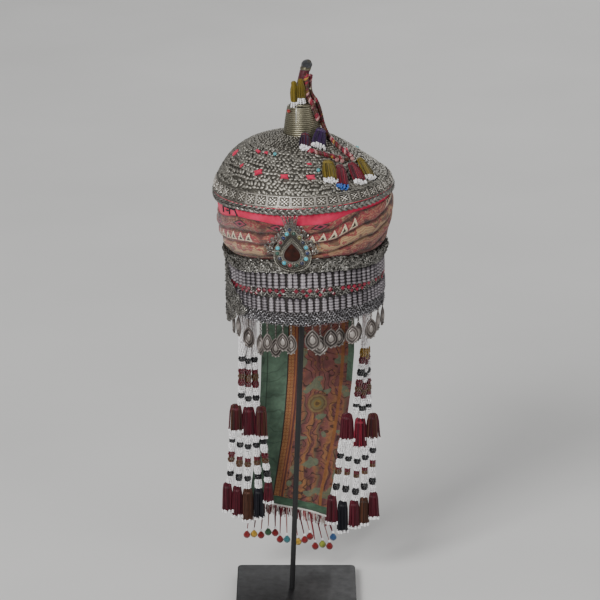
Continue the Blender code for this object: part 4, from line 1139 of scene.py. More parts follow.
def make_forehead_chains():
    """Short chains that hold the ornament up to the rim, in a net of loose links round its upper edge."""
    rng = np.random.default_rng(27)
    link = wire_ring(1.2, 0.42, 8, 3, 1.3)
    placed = []

    def add_link(spot, heading, tip):
        shape = turned(turned(link[0], tip, "X"), heading, "Z")
        placed.append(np.stack((shape[:, 0], shape[:, 2], shape[:, 1]), axis=-1) + spot)

    for wide in (-9.5, -5.0, -1.0, 3.0, 8.0):
        start = np.array((wide * 0.45, 3.0, 27.0 - abs(wide) * 0.3))
        stop = np.array((wide, 3.5, 42.0))
        heading = math.atan2(stop[2] - start[2], stop[0] - start[0])
        for i in range(9):
            add_link(start + (stop - start) * i / 8, heading, 1.4 * (i % 2))
    for x in np.arange(-34.0, 34.1, 2.1):
        for z in np.arange(-6.0, 40.0, 2.1):
            reach = abs(x) - (22.0 - max(0.0, z - 3.0) * 0.78)
            deep = 7.0 + 3.0 * math.sin(z * 0.5 + x)
            if 0.0 < reach + rng.normal(0, 0.8) < deep:
                out = 2.0 - x * x / 205.0 + rng.normal(0, 0.3)
                spot = np.array((x, out, z)) + rng.normal(0, 0.4, 3)
                add_link(spot, rng.uniform(0, 3.1), rng.normal(0, 0.7))
    link = (link[0], [face[::-1] for face in link[1]])
    chains = copies("forehead_chains", link, on_setting(placed), SILVER["mail"], seed=24, smooth=60)


# The drops: angle round the band, ring radius, chain length, leaf width, leaf height and turn of the leaf
DROPS = (
    (-82.0, 90.6, 9.0, 15.0, 24.0, 4.0),
    (-67.3, 90.6, 5.0, 16.0, 25.0, -4.0),
    (-50.5, 92.0, 11.0, 16.5, 26.0, 8.0),
    (-38.0, 92.0, 15.0, 15.0, 27.0, -20.0),
    (-31.2, 93.2, 12.0, 11.0, 24.0, 38.0),
    (-25.4, 89.2, 18.0, 13.0, 25.0, 10.0),
    (-18.6, 93.2, 9.0, 15.5, 24.0, -8.0),
    (-13.0, 89.2, 12.0, 13.0, 26.0, 24.0),
    (3.4, 93.2, 5.0, 17.0, 27.0, -10.0),
    (9.4, 89.2, 14.0, 18.0, 26.0, 9.0),
    (17.2, 93.2, 6.0, 16.0, 25.0, -14.0),
    (24.6, 89.2, 8.0, 17.0, 24.0, 10.0),
    (34.8, 93.2, 6.0, 17.0, 25.0, -9.0),
    (42.6, 89.2, 7.0, 15.0, 24.0, 14.0),
    (54.6, 93.2, 7.0, 17.0, 26.0, -12.0),
    (67.5, 91.6, 4.0, 16.0, 25.0, 6.0),
    (82.0, 91.5, 6.0, 15.0, 24.0, -8.0),
)


def leaf_shape():
    """One leaf, a unit wide and high, point up: domed to the viewer, with a raised border and a ridge."""
    down = (0.0, 0.04, 0.10, 0.22, 0.40, 0.60, 0.75, 0.88, 0.96, 1.0)
    half = (0.03, 0.09, 0.20, 0.34, 0.47, 0.50, 0.44, 0.28, 0.12, 0.03)
    right = [(wide, 0.5 - drop) for wide, drop in zip(half, down)]
    outline = np.array(right + [(-x, y) for x, y in right[::-1]])[::-1]
    layers = ((1.0, 0.0), (1.0, 0.5), (0.93, 0.75), (0.86, 0.7), (0.80, 0.15), (0.70, 0.15), (0.64, 0.7))
    layers += ((0.55, 0.8), (0.49, 0.35), (0.40, 0.45), (0.32, 1.15), (0.14, 1.45))
    return stacked(layers, outline)


def make_drops(material):
    """Seventeen leaf drops on short chains, each hung upright and turned its own way."""
    leaf, link, bead = leaf_shape(), wire_ring(1.25, 0.4, 8, 4, 1.3), round_bead(1.2, 6, 4)
    for number, (degrees, ring, chain, wide, high, turn) in enumerate(DROPS, start=1):
        facing = math.radians(degrees)
        hook = cap_to_row(polar(ring, facing, 3.7))
        sink = (0.0, -chain - high / 2, -0.3)
        back = moved(leaf, sink, (wide * 1.13, high, -0.55))
        parts = [moved(leaf, sink, (wide * 1.13, high, 1.25)), (back[0], [face[::-1] for face in leaf[1]])]
        count = max(2, round((chain + 2.0) / 2.3))
        for i in range(count):
            shape = turned(turned(link[0], math.radians(85) * (i % 2), "X"), math.pi / 2, "Z")
            parts.append((shape - np.array((0.0, (chain + 1.0) * i / count, 0.0)), link[1]))
        for side in (-0.33, 0.0, 0.33):
            low = -chain - high + 1.2 + 3.0 * abs(side)
            parts.append(moved(bead, (side * wide * 0.9, low, 0.2)))
        shape, faces = joined(*parts)
        stands = np.stack((shape[:, 0], -shape[:, 2], shape[:, 1]), axis=-1)
        angle = facing + math.radians(turn)
        spun = turned(stands, angle, "Z") + hook
        marks = {"relief": np.clip(shape[:, 2] / 1.3 + 0.1, 0, 1)}
        marks["tone"] = np.full(len(shape), (number * 0.37) % 1.0)
        drop = mesh_piece(f"leaf_drop_{number:02d}", spun, faces, material, marks, 40)
        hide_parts(f"drop_{number:02d}")


# The finial


# The leaning spike: its middle's offset in x, its height and its radius
SPIKE = (
    (3.4, 250.3, 9.5),
    (3.1, 262.0, 7.2),
    (3.8, 276.0, 5.8),
    (6.6, 289.0, 5.2),
    (8.2, 293.0, 5.6),
    (9.6, 298.3, 6.7),
    (10.7, 302.6, 4.8),
    (11.2, 304.6, 1.6),
)


def finial_middle(height):
    heights, middles = [row[1] for row in SPIKE], [row[0] for row in SPIKE]
    return np.interp(height, [219.0, 249.8] + heights, [2.0, 2.0] + middles)


def finial_radius(height):
    heights = [213.0, 219.0, 224.0, 231.0, 238.0, 244.0, 250.0, 250.6] + [row[1] for row in SPIKE[1:]]
    radii = [21.8, 20.8, 20.2, 19.2, 17.8, 16.6, 15.0, 9.9] + [row[2] for row in SPIKE[1:]]
    return np.interp(height, heights, radii)


def wound(first, last, pitch, proud, steps=30):
    """A wire wound round the finial between two heights."""
    turns = (last - first) / pitch
    share = np.linspace(0, 1, int(turns * steps))
    height = first + (last - first) * share
    angle = share * turns * math.tau
    points = polar(finial_radius(height) + proud, angle, height)
    points[:, 0] += finial_middle(height)
    return cap_to_row(points)


def make_finial(wool):
    """A cone coiled from silver wire, its leaning spike bound with wire and wool, and a dark knob on top."""
    coils = (
        ("finial_coil", wound(214.0, 250.0, 2.3, 0.5, 36), 1.45, 8, 0.6),
        ("finial_cap_coil", spiral(15.2, 8.6, 251.3), 1.2, 6, 0.4),
        ("spike_wire", wound(252.0, 276.5, 1.9, 0.1), 1.1, 6, 0.5),
    )
    for name, run, radius, sides, tone in coils:
        coil = strands(name, [run], radius, SILVER["warm"], tones=(tone,), sides=sides)
    dye = {"dye": (DYES["maroon"],)}
    wrap = strands("spike_wool", [wound(276.5, 292.5, 1.7, 0.1)], 0.95, wool, tones=(0.5,), marks=dye)
    neck = strands("spike_neck", [wound(292.8, 295.6, 1.4, 0.2)], 0.75, SILVER["warm"], tones=(0.5,))
    places = ((-6.0, -19.6, 219.0), (-5.2, -18.4, 232.0), (-4.4, -16.2, 247.0), (-3.0, -9.6, 254.0))
    run = cap_to_row(smooth_run(places, 1.4))
    strip = strands("finial_strip", [run], 1.1, SILVER["bright"], tones=(0.9,))
    ball = round_bead(2.1, 8, 6)
    placed = [ball[0] + np.array(spot) for spot in ((12.8, -5.0, 270.0), (17.0, -7.0, 254.0))]
    copies("spike_balls", ball, cap_to_row(placed), SILVER["warm"], smooth=0)
    bead = round_bead(2.3)
    placed = [bead[0] + np.array((-13.6, -13.6, 246.0))]
    glass = glass_bead("finial_red_glass", "#a3291f", "#5c120e")
    copies("finial_red_bead", bead, cap_to_row(placed), glass, smooth=0)
    profile = ((1.0, 294.8), (5.9, 295.6), (6.9, 298.2), (6.2, 300.9), (4.2, 303.2), (1.2, 304.7))
    knob = lathe_at("finial_knob", 9.9, profile, felt("felted_grey_wool", "#34363a", "#131315"))


def spiral(outer, inner, height):
    turns = (outer - inner) / 2.2
    share = np.linspace(0, 1, int(turns * 36))
    points = polar(outer + (inner - outer) * share, share * turns * math.tau, height + 0.8 * share)
    points[:, 0] += finial_middle(height)
    return cap_to_row(points)


def lathe_at(name, middle, profile, material, columns=20):
    """A closed turned shape whose middle is that far off the cap's, from rows of radius and height."""
    angles = np.linspace(0, math.tau, columns, endpoint=False)
    points = [polar(radius, angles, height) for radius, height in profile]
    points += [np.array([(0.0, 0.0, height)]) for height in (profile[0][1], profile[-1][1])]
    points = np.concatenate(points) + np.array((middle, 0.0, 0.0))
    top, pole = (len(profile) - 1) * columns, len(profile) * columns
    faces = []
    for i, j in zip(range(columns), (*range(1, columns), 0)):
        faces += [(row + i, row + j, row + columns + j, row + columns + i) for row in range(0, top, columns)]
        faces += [(pole, j, i), (pole + 1, top + i, top + j)]
    return mesh_piece(name, cap_to_row(points), faces, material, smooth=60)


def felt(name, code, deep):
    """Felted wool: matt, with a soft halo and a fibrous, slightly uneven surface."""
    material, add, feed = new_material(name, cloth_settings(0.95, 0.5))
    place = add("TexCoord", output="Object")
    tufts = add("TexNoise", place, Scale=1000 / 2.5, Detail=5.0)
    feed("Base Color", add("ValToRGB", tufts, stops=((0.3, deep), (0.7, code))))
    fibres = add("TexNoise", place, Scale=1000 / 0.9, Detail=4.0)
    feed("Normal", add("Bump", Strength=0.7, Distance=0.4 * MM, Height=fibres))
    return material


# Threads, cords and tassels


THREAD_CODES = {
    "maroon": "#590b20",
    "crimson": "#8a1830",
    "purple": "#38184e",
    "ochre": "#7c6a1e",
    "navy": "#10101c",
    "brown": "#54301e",
    "red": "#8e2230",
    "gold": "#a5792f",
    "pink": "#c08a86",
    "white": "#e6e2da",
}
BEAD_CODES = {
    "white": "#fbfaf9",
    "maroon": "#5a0a1c",
    "brown": "#573a22",
    "black": "#0b0b10",
    "ochre": "#8a6a24",
    "blue": "#2a5fb0",
}


def dye_values(codes):
    """The value that stands for each dye at a thread's or a bead's points."""
    return {kind: (number + 0.5) / len(codes) for number, kind in enumerate(codes)}


DYES, BEAD_DYES = dye_values(THREAD_CODES), dye_values(BEAD_CODES)


def dyed(add, codes, shade):
    """The colour that each point's dye value stands for, under a grey shade."""
    stops = [(number / len(codes), code) for number, code in enumerate(codes.values())]
    dye = add("Attribute", attribute_name="dye", output="Fac")
    dye = add("ValToRGB", dye, stops=stops, interpolation="CONSTANT")
    return add("Mix", 1.0, dye, shade, blend_type="MULTIPLY")


def dyed_thread():
    """Silky floss: the dye is a value of each thread, which is darker or lighter from one to the next."""
    material, add, feed = new_material("twisted_silk_floss", cloth_settings(0.5, 0.4, 0.35))
    place = add("TexCoord", output="Object")
    uneven = add("MULTIPLY", add("TexNoise", place, Scale=1000 / 5.0, Detail=3.0), 0.5)
    tone = add("MULTIPLY_ADD", add("Attribute", attribute_name="tone", output="Fac"), 0.7, uneven)
    shade = add("ValToRGB", tone, stops=((0.1, "#6a6a6a"), (0.6, "#dcdcdc"), (1.0, "#ffffff")))
    feed("Base Color", dyed(add, THREAD_CODES, shade))
    fibres = add("TexNoise", place, Scale=1000 / 0.6, Detail=2.0)
    feed("Normal", add("Bump", Strength=0.6, Distance=0.12 * MM, Height=fibres))
    return material


def tassel_threads(middles, across, deep, wide, thick, count, rng):
    """Threads that fill a tassel: middles run down its axis, wide and thick are its half sizes there."""
    runs = []
    for number in range(count):
        turn = math.tau * number * 0.618034
        reach = math.sqrt((number + 0.5) / count) * 0.96
        sway = rng.normal(0, 0.05, 2)
        run = []
        for i, middle in enumerate(middles):
            share = i / (len(middles) - 1)
            x = reach * math.cos(turn) + sway[0] * share * 2
            y = reach * math.sin(turn) + sway[1] * share * 2
            run.append(middle + across[i] * x * wide[i] + deep[i] * y * thick[i])
        last = run[-1] - run[-2]
        run[-1] = run[-1] + last * rng.uniform(-0.22, 0.08)
        runs.append(np.array(run))
    return runs


def hanging_tassel(x, y, top, foot, half, rng, count=64):
    """A flat tassel that hangs straight down: its threads and the loops that bind its head."""
    heights = (top, top - 2.0, top - 5.5, top - 10.0, (top + foot) / 2 - 3.0, foot + 5.0, foot + 1.0)
    swell = np.array((0.42, 0.76, 0.84, 0.94, 1.0, 1.05, 1.12))
    middles = [np.array((x, y, z)) for z in heights]
    side, back = [SIDEWAYS] * 7, [BACKWARDS] * 7
    runs = tassel_threads(middles, side, back, half * swell, 4.3 * swell, count, rng)
    turn = np.linspace(0, 6 * math.pi, 46)
    loops = (x + half * 0.68 * np.cos(turn), y + 3.2 * np.sin(turn), top - 4.2 - turn * 0.13)
    return runs, np.stack(loops, axis=-1)


# The side tassels in their rows, from the viewer's left: place across, top, foot, half width and dyes
TASSEL_ROWS = {
    "left_upper": (
        (-75.0, 247.0, 212.0, 8.6, ("brown", "maroon")),
        (-59.3, 244.0, 205.0, 8.6, ("maroon",)),
        (-44.0, 244.0, 204.0, 8.0, ("brown", "maroon")),
    ),
    "left_lower": (
        (-86.4, 142.5, 105.0, 6.8, ("maroon",)),
        (-74.2, 138.0, 98.0, 7.0, ("maroon",)),
        (-61.0, 135.0, 92.0, 7.2, ("brown",)),
        (-47.4, 135.0, 95.0, 7.2, ("navy",)),
        (-35.0, 143.0, 117.0, 6.2, ("maroon",)),
    ),
    "right_upper": (
        (63.0, 235.0, 200.0, 8.6, ("maroon",)),
        (79.4, 229.0, 190.0, 8.6, ("maroon", "maroon", "crimson")),
        (95.0, 235.0, 202.0, 8.0, ("brown", "maroon")),
    ),
    "right_lower": (
        (44.6, 126.0, 89.0, 6.8, ("maroon",)),
        (58.0, 118.0, 77.0, 7.2, ("navy",)),
        (72.2, 119.0, 83.0, 7.2, ("maroon",)),
        (84.6, 123.0, 87.0, 6.6, ("brown",)),
        (96.4, 130.0, 96.0, 6.4, ("maroon",)),
    ),
}


def bead_dye(beads, kind="white"):
    return {"dye": np.full(len(beads), BEAD_DYES[kind])}


def make_tassel_row(place, node, material, bead, bead_material, seed):
    """A row of tassels side by side, with white seed beads on the ends of some threads."""
    rng = np.random.default_rng(seed)
    runs, dye, beads = [], [], []
    for number, (x, top, foot, half, dyes) in enumerate(TASSEL_ROWS[place]):
        threads, band = hanging_tassel(x, 30.0 + 0.7 * (number % 2), top, foot, half * 0.97, rng)
        runs += [*threads, band]
        dye += [DYES[dyes[i % len(dyes)]] for i in range(len(threads))] + [DYES[dyes[-1]]]
        for run in threads[::3]:
            beads += [bead[0] + run[-1] - np.array((0.0, 0.0, 0.5 + 2.1 * j)) for j in range(2)]
    name = "silk_tassels_" + place
    tassel = strands(name, runs, 0.62, material, sides=4, marks={"dye": dye}, seed=seed)
    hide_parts(node)
    name, marks = name + "_bead_ends", bead_dye(beads)
    drops = copies(name, bead, np.array(beads), bead_material, seed=seed, smooth=0, marks=marks)


def seed_bead_glass():
    """Small glazed glass beads, glossy and slightly uneven in tone: each bead has its own colour."""
    settings = {"Roughness": 0.22, "IOR": 1.5, "Coat Weight": 0.35, "Coat Roughness": 0.1}
    material, add, feed = new_material("glazed_seed_beads", settings)
    tone = add("Attribute", attribute_name="tone", output="Fac")
    shade = add("ValToRGB", tone, stops=((0.0, "#dcdadc"), (1.0, "#ffffff")))
    feed("Base Color", dyed(add, BEAD_CODES, shade))
    return material


# Bunches of strings: where each one's top and foot are, across, back and up
STRING_ENDS = {
    "left_upper": (
        ((-65.0, 19.5, 399.0), (-68.4, 28.0, 247.5)),
        ((-61.4, 31.0, 399.0), (-59.2, 30.0, 244.5)),
        ((-55.6, 42.5, 399.0), (-49.6, 32.0, 244.5)),
    ),
    "left_lower": (
        ((-79.0, 29.0, 211.5), (-83.0, 29.0, 143.0)),
        ((-69.6, 30.0, 204.5), (-72.2, 30.0, 138.5)),
        ((-59.9, 30.0, 204.5), (-61.2, 30.0, 135.5)),
        ((-50.6, 31.0, 203.5), (-47.3, 31.0, 135.5)),
        ((-41.8, 31.0, 203.5), (-35.6, 31.0, 143.5)),
    ),
    "right_upper": (
        ((93.0, 19.5, 403.0), (72.6, 28.0, 235.5)),
        ((89.4, 31.0, 403.0), (81.2, 30.0, 229.5)),
        ((83.6, 42.5, 403.0), (90.0, 32.0, 235.5)),
    ),
    "right_lower": (
        ((57.6, 29.0, 199.5), (48.6, 29.0, 126.5)),
        ((67.0, 30.0, 199.5), (60.6, 30.0, 118.5)),
        ((76.8, 30.0, 189.5), (73.6, 30.0, 119.5)),
        ((86.2, 31.0, 189.5), (84.6, 31.0, 123.5)),
        ((95.4, 31.0, 201.5), (95.0, 31.0, 130.5)),
    ),
}
# Bands of colour down the strings: the height where each ends, and its bead
STRING_BANDS = {
    "left_upper": (
        (312.0, "white"), (305.4, "black"), (297.2, "white"), (289.7, "maroon"), (281.3, "brown"),
        (273.8, "maroon"), (263.5, "white"), (256.6, "black"), (0, "white"),
    ),
    "left_lower": (
        (203.0, "white"), (196.2, "black"), (184.3, "white"), (178.7, "maroon"), (172.0, "brown"),
        (160.8, "white"), (152.2, "black"), (0, "white"),
    ),
    "right_upper": (
        (325.0, "white"), (313.0, "ochre"), (304.0, "maroon"), (295.6, "white"), (287.8, "black"),
        (281.9, "white"), (273.0, "maroon"), (265.5, "brown"), (259.0, "maroon"), (249.6, "white"),
        (243.8, "black"), (0, "white"),
    ),
    "right_lower": (
        (182.0, "white"), (175.0, "black"), (165.5, "white"), (161.0, "maroon"), (155.6, "brown"),
        (142.8, "white"), (133.4, "black"), (0, "white"),
    ),
}
# How much higher the bands lie on each string than on the first
BAND_SHIFTS = {
    "left_upper": (0.0, -4.0, -4.5),
    "left_lower": (0.0, -6.0, -8.0, -6.0, -2.0),
    "right_upper": (0.0, -5.0, -1.0),
    "right_lower": (0.0, -3.0, -6.0, -1.5, 7.0),
}


BEAD_STEP = 2.35


def make_bead_strings(place, node, bead, material, thread_material, seed):
    """Bunches of seed beads down each string: rings of beads, drawn in where the colour changes."""
    rng = np.random.default_rng(seed)
    placed, dye, runs = [], [], []
    for (top, foot), shift in zip(np.array(STRING_ENDS[place]), BAND_SHIFTS[place]):
        runs.append(np.stack([top + (foot - top) * s for s in np.linspace(0, 1, 12)]))
        rings = round(np.linalg.norm(foot - top) / BEAD_STEP)
        kinds = []
        for level in top[2] + (foot[2] - top[2]) * (np.arange(rings) + 0.5) / rings:
            bands = STRING_BANDS[place]
            kinds.append(next(kind for low, kind in bands if level - shift + rng.normal(0, 0.3) > low))
        for r, kind in enumerate(kinds):
            middle = top + (foot - top) * (r + 0.5) / rings
            ends = kinds[max(r - 1, 0)] != kind or kinds[min(r + 1, rings - 1)] != kind
            count, reach = (7, 2.9) if ends else (8, 3.65)
            turn = rng.uniform(0, 6.28)
            for i in range(count):
                angle = turn + math.tau * i / count
                offset = (reach * math.cos(angle), reach * math.sin(angle), rng.normal(0, 0.15))
                placed.append(bead[0] + middle + np.array(offset))
                dye.append(BEAD_DYES[kind])
    name, marks = "beads_" + place, {"dye": np.array(dye)}
    beads = copies(name, bead, np.array(placed), material, seed=seed, smooth=0, marks=marks)
    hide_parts(node)
    dyes = {"dye": [DYES["white"]] * len(runs)}
    strands(name + "_threads", runs, 1.5, thread_material, sides=4, marks=dyes)


# The crown's tassels: head and foot in plan, rise of the head, width, thickness and dyes
CROWN_TASSELS = (
    ("tassel_purple", (21.0, -17.0), (18.6, -38.5), 9.0, 15.0, 8.0, ("purple",)),
    ("tassel_maroon_high", (4.5, -24.5), (3.6, -46.0), 4.0, 11.5, 7.5, ("maroon", "purple")),
    ("tassel_ochre_left", (29.5, -59.0), (32.6, -82.0), 0.0, 17.0, 8.0, ("ochre",)),
    ("tassel_maroon_left", (43.5, -59.0), (46.0, -84.0), 0.0, 14.0, 8.5, ("maroon", "crimson")),
    ("tassel_maroon_right", (56.8, -46.0), (64.8, -68.0), 0.0, 15.0, 8.5, ("crimson", "maroon")),
    ("tassel_ochre_right", (66.5, -27.0), (77.5, -51.0), 0.0, 13.0, 8.5, ("ochre",)),
)


def make_crown_tassel(name, head, foot, head_lift, wide, thick, dyes, material, bead, bead_material, seed):
    """A plump tassel lying on the crown: a bound head and a loose skirt with seed beads at its ends."""
    rng = np.random.default_rng(seed)
    head, foot = np.array(head), np.array(foot)
    shares = (0.0, 0.1, 0.2, 0.3, 0.55, 0.8, 1.0)
    halves = (0.18, 0.36, 0.34, 0.42, 0.48, 0.50, 0.47)
    plan = head + (foot - head) * np.array(shares)[:, None]
    points, _, _, out = crown_frames(plan[:, 0], plan[:, 1])
    lift = thick * np.interp(shares, (0, 0.3, 1), (0.36, 0.42, 0.47))
    lift += head_lift * (1 - np.array(shares)) ** 1.5
    middles = points + out * lift[:, None]
    along = unit(np.gradient(middles, axis=0))
    across = unit(np.cross(along, out))
    deep = np.cross(across, along)
    wides, thicks = [wide * 1.12 * h for h in halves], [thick * h * 0.92 for h in halves]
    runs = tassel_threads(middles, across, deep, wides, thicks, 84, rng)
    turn = np.linspace(0, 6 * math.pi, 46)[:, None]
    spot, a, d, t = middles[2], across[2], deep[2], along[2]
    loop = spot + a * np.cos(turn) * wide * 0.37 + d * np.sin(turn) * thick * 0.35 + t * (turn * 0.12 - 1.2)
    beads = []
    for i, run in enumerate(runs):
        if i % 4 == 0:
            heading = unit((run[-1] - run[-2])[None, :])[0] + across[-1] * rng.normal(0, 0.2)
            beads += [bead[0] + run[-1] + heading * (1.2 + 2.3 * j) for j in range(2)]
    dye = [DYES[dyes[i % len(dyes)]] for i in range(len(runs))] + [DYES[dyes[0]]]
    runs = [cap_to_row(run) for run in runs] + [cap_to_row(loop)]
    skirt = strands("silk_" + name, runs, 0.7, material, sides=4, marks={"dye": dye}, seed=seed)
    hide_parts(name)
    marks = bead_dye(beads, "blue" if name == "tassel_maroon_left" else "white")
    placed = cap_to_row(beads)
    ends = copies("bead_ends_" + name, bead, placed, bead_material, seed=seed, smooth=0, marks=marks)
    return skirt, ends


# Pale knots where the braids end among the tassels: places over the crown
CROWN_KNOTS = ((40.5, -51.5), (46.5, -49.5), (52.0, -42.5), (58.5, -35.5))


def make_crown_knots(material):
    """Small knots of pale pink and brown wool at the ends of the braids."""
    x, y = np.array(CROWN_KNOTS).T
    spots, side, other, out = crown_frames(x, y)
    runs, dye = [], []
    for number in range(len(x)):
        turn = np.linspace(0, 7 * math.pi, 60)[:, None]
        swell = 1.9 * np.sin(np.linspace(0.35, math.pi - 0.35, 60))[:, None]
        rise = np.linspace(0.6, 4.2, 60)[:, None]
        run = spots[number] + side[number] * swell * np.cos(turn) + other[number] * swell * np.sin(turn)
        runs.append(cap_to_row(run + out[number] * rise))
        dye.append(DYES[("pink", "pink", "brown", "pink")[number]])
    strands("crown_knots", runs, 0.9, material, sides=6, marks={"dye": dye}, seed=45)


def make_spike_tassels(material, bead, bead_material):
    """The pair of ochre tassels at the front of the spike, with white beads at their ends."""
    rng = np.random.default_rng(61)
    runs, beads = [], []
    for x, y, top, foot, half in ((-6.2, -8.9, 281.0, 256.0, 4.9), (1.9, -11.2, 284.0, 261.0, 4.8)):
        heights = (top, top - 2.0, top - 5.0, top - 9.0, (top + foot) / 2 - 2.0, foot + 4.0, foot)
        swell = np.array((0.30, 0.62, 0.6, 0.85, 1.0, 0.95, 0.85))
        middles = [np.array((x, y, z)) for z in heights]
        side, back = [SIDEWAYS] * 7, [BACKWARDS] * 7
        runs += tassel_threads(middles, side, back, half * swell, half * 0.78 * swell, 44, rng)
        for i in range(7):
            angle = math.tau * i / 7
            for j in range(3):
                spread = 1.0 + 0.12 * j
                spot = (3.4 * spread * math.cos(angle), 2.6 * spread * math.sin(angle), -1.2 - 2.3 * j)
                beads.append(bead[0] + np.array((x, y, foot)) + np.array(spot))
    dye = [DYES["ochre"]] * len(runs)
    runs = [cap_to_row(run) for run in runs]
    skirt = strands("silk_tassels_spike", runs, 0.62, material, sides=4, marks={"dye": dye}, seed=62)
    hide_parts("tassels_ochre_spike")
    marks = bead_dye(beads)
    ends = copies("bead_ends_spike", bead, cap_to_row(beads), bead_material, seed=63, smooth=0, marks=marks)


# Braids of wool. A run is a height, angle and distance off the finial, and then places over the crown.
BRAID_RADIUS = 2.4
BRAIDS = {
    "braid_short": (
        (
            (288.0, 20, 5.2), (280.0, 26, 5.7), (270.0, 34, 6.4), (260.5, 42, 8.2),
            (254.5, 46, 12.9), (249.0, 49, 16.4), (242.0, 52, 18.6), (234.0, 55, 20.4),
        ),
        (),
    ),
    "braid_long": (
        (
            (286.0, 86, 5.4), (276.0, 88, 5.9), (264.0, 90, 7.4), (255.0, 91, 12.7),
            (249.0, 90, 16.4), (242.0, 88, 18.4), (233.0, 84, 20.4), (225.5, 80, 22.4),
        ),
        ((30.5, -9.5), (35.5, -18.0), (42.0, -25.5), (49.5, -30.5), (57.0, -33.5)),
    ),
    "braid_cross": (
        (),
        ((45.5, -46.0), (39.0, -49.0), (31.5, -50.8), (23.5, -51.2), (15.5, -51.0), (8.0, -50.0)),
    ),
}


def make_braid(name, material):
    """Three strands of wool twisted to a round braid, red with gold and short pale lengths."""
    finial, crown = BRAIDS[name]
    points = []
    for height, degrees, off in finial:
        point = polar(off + BRAID_RADIUS + 0.3, math.radians(degrees), height)
        points.append(point + np.array((finial_middle(height), 0.0, 0.0)))
    if crown:
        x, y = np.array(crown).T
        laid, _, _, out = crown_frames(x, y)
        points += list(laid + out * (BRAID_RADIUS + 0.8))
    path = smooth_run(points, 0.8)
    along = unit(np.gradient(path, axis=0))
    side = unit(np.cross(along, np.array((0.0, 1.0, 0.2))))
    other = np.cross(along, side)
    turn = math.tau * np.arange(len(path)) * 0.8 / 8.0
    rng = np.random.default_rng(len(path))
    runs, dye = [], []
    for number, kinds in enumerate((("maroon", "crimson"), ("brown", "pink"), ("crimson", "gold", "brown"))):
        phase = turn + number * math.tau / 3
        run = path + (side * np.cos(phase)[:, None] + other * np.sin(phase)[:, None]) * 1.45
        first = 0
        while first < len(run) - 3:
            last = min(first + int(rng.integers(7, 14)), len(run) - 1)
            runs.append(cap_to_row(run[first : last + 1]))
            dye.append(DYES[kinds[rng.integers(len(kinds))]])
            first = last
    braid = strands("wool_" + name, runs, 1.62, material, sides=6, marks={"dye": dye}, seed=41)
    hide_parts(name)


# The cloth tail


# Rows down the tail: height, left and right edge, and how closely it follows the cap's round back
PANEL_ROWS = (
    (398.0, -43.0, 70.0, 1.0),
    (372.0, -43.0, 72.0, 0.95),
    (340.0, -43.0, 72.0, 0.8),
    (304.0, -43.5, 72.0, 0.62),
    (265.0, -44.5, 69.5, 0.5),
    (225.0, -46.5, 65.0, 0.42),
    (185.0, -50.0, 59.5, 0.36),
    (145.0, -54.5, 50.0, 0.32),
    (110.0, -59.0, 43.0, 0.3),
    (60.0, -61.0, 39.5, 0.3),
)


PANEL_TOP, PANEL_FOOT_LEFT, PANEL_FOOT_WIDE = 398.0, -61.0, 100.5


def panel_front(shares, heights):
    """The front face of the tail: shares run across it from the viewer's left and heights are rows' own."""
    rows = np.array(PANEL_ROWS)[::-1]
    left, right, curve = (np.interp(heights, rows[:, 0], rows[:, i]) for i in (1, 2, 3))
    x = left + (right - left) * shares
    round_y = np.sqrt(np.maximum(82.6**2 - (x - 14.0) ** 2, 0.0))
    wave_y = 2.2 * np.sin(shares * math.tau * 1.6 + 0.6) * (1 - curve)
    return np.stack((x, curve * round_y + (1 - curve) * 71.0 + wave_y, heights), axis=-1)


def panel_foot(shares):
    """The height of the tail's slanting foot, and a place on it."""
    foot = 91.0 - 0.262 * (PANEL_FOOT_LEFT + PANEL_FOOT_WIDE * shares)
    return foot, panel_front(shares, foot)


def panel_grid(rows, columns):
    """A grid over the tail from its top down to its slanting foot."""
    shares = np.broadcast_to(np.linspace(0, 1, columns), (rows, columns))
    heights = PANEL_TOP + (panel_foot(shares)[0] - PANEL_TOP) * np.linspace(0, 1, rows)[:, None]
    return panel_front(shares, heights), shares, heights


def make_back_panel(material, binding):
    """The embroidered tail: one cloth, bound at its foot, hung from inside the cap's back."""
    front, shares, heights = panel_grid(90, 72)
    fold = np.sin(shares * 31 + heights * 0.02) * 0.35 + np.sin(heights * 0.06 + shares * 7) * 0.5
    front[..., 1] += fold * np.clip((PANEL_TOP - heights) / 60.0, 0, 1)
    back = front + np.array((0.0, 1.5, 0.0))
    uv = np.stack((shares * 110.0, heights), axis=-1)
    panel = skin("tail_cloth", front[::-1], material, uv[::-1], back=back[::-1])
    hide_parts("back_panel")
    shares = np.linspace(0, 1, 60)
    foot = panel_foot(shares)[0]
    strip = []
    profile = ((-0.6, 0.7), (0.4, -0.9), (5.0, -1.1), (9.6, -0.9), (10.2, -0.2))
    for up, out in (*profile, (10.2, 2.0), (9.6, 2.6), (5.0, 2.8), (0.4, 2.6), profile[0]):
        strip.append(panel_front(shares, foot + up) + BACKWARDS * out)
    bound = skin("tail_binding", np.array(strip), binding, even_uv(10, 60, 104.0, 24.0))


def far_from(add, across, along):
    return add("SQRT", add("ADD", add("MULTIPLY", across, across), add("MULTIPLY", along, along)))


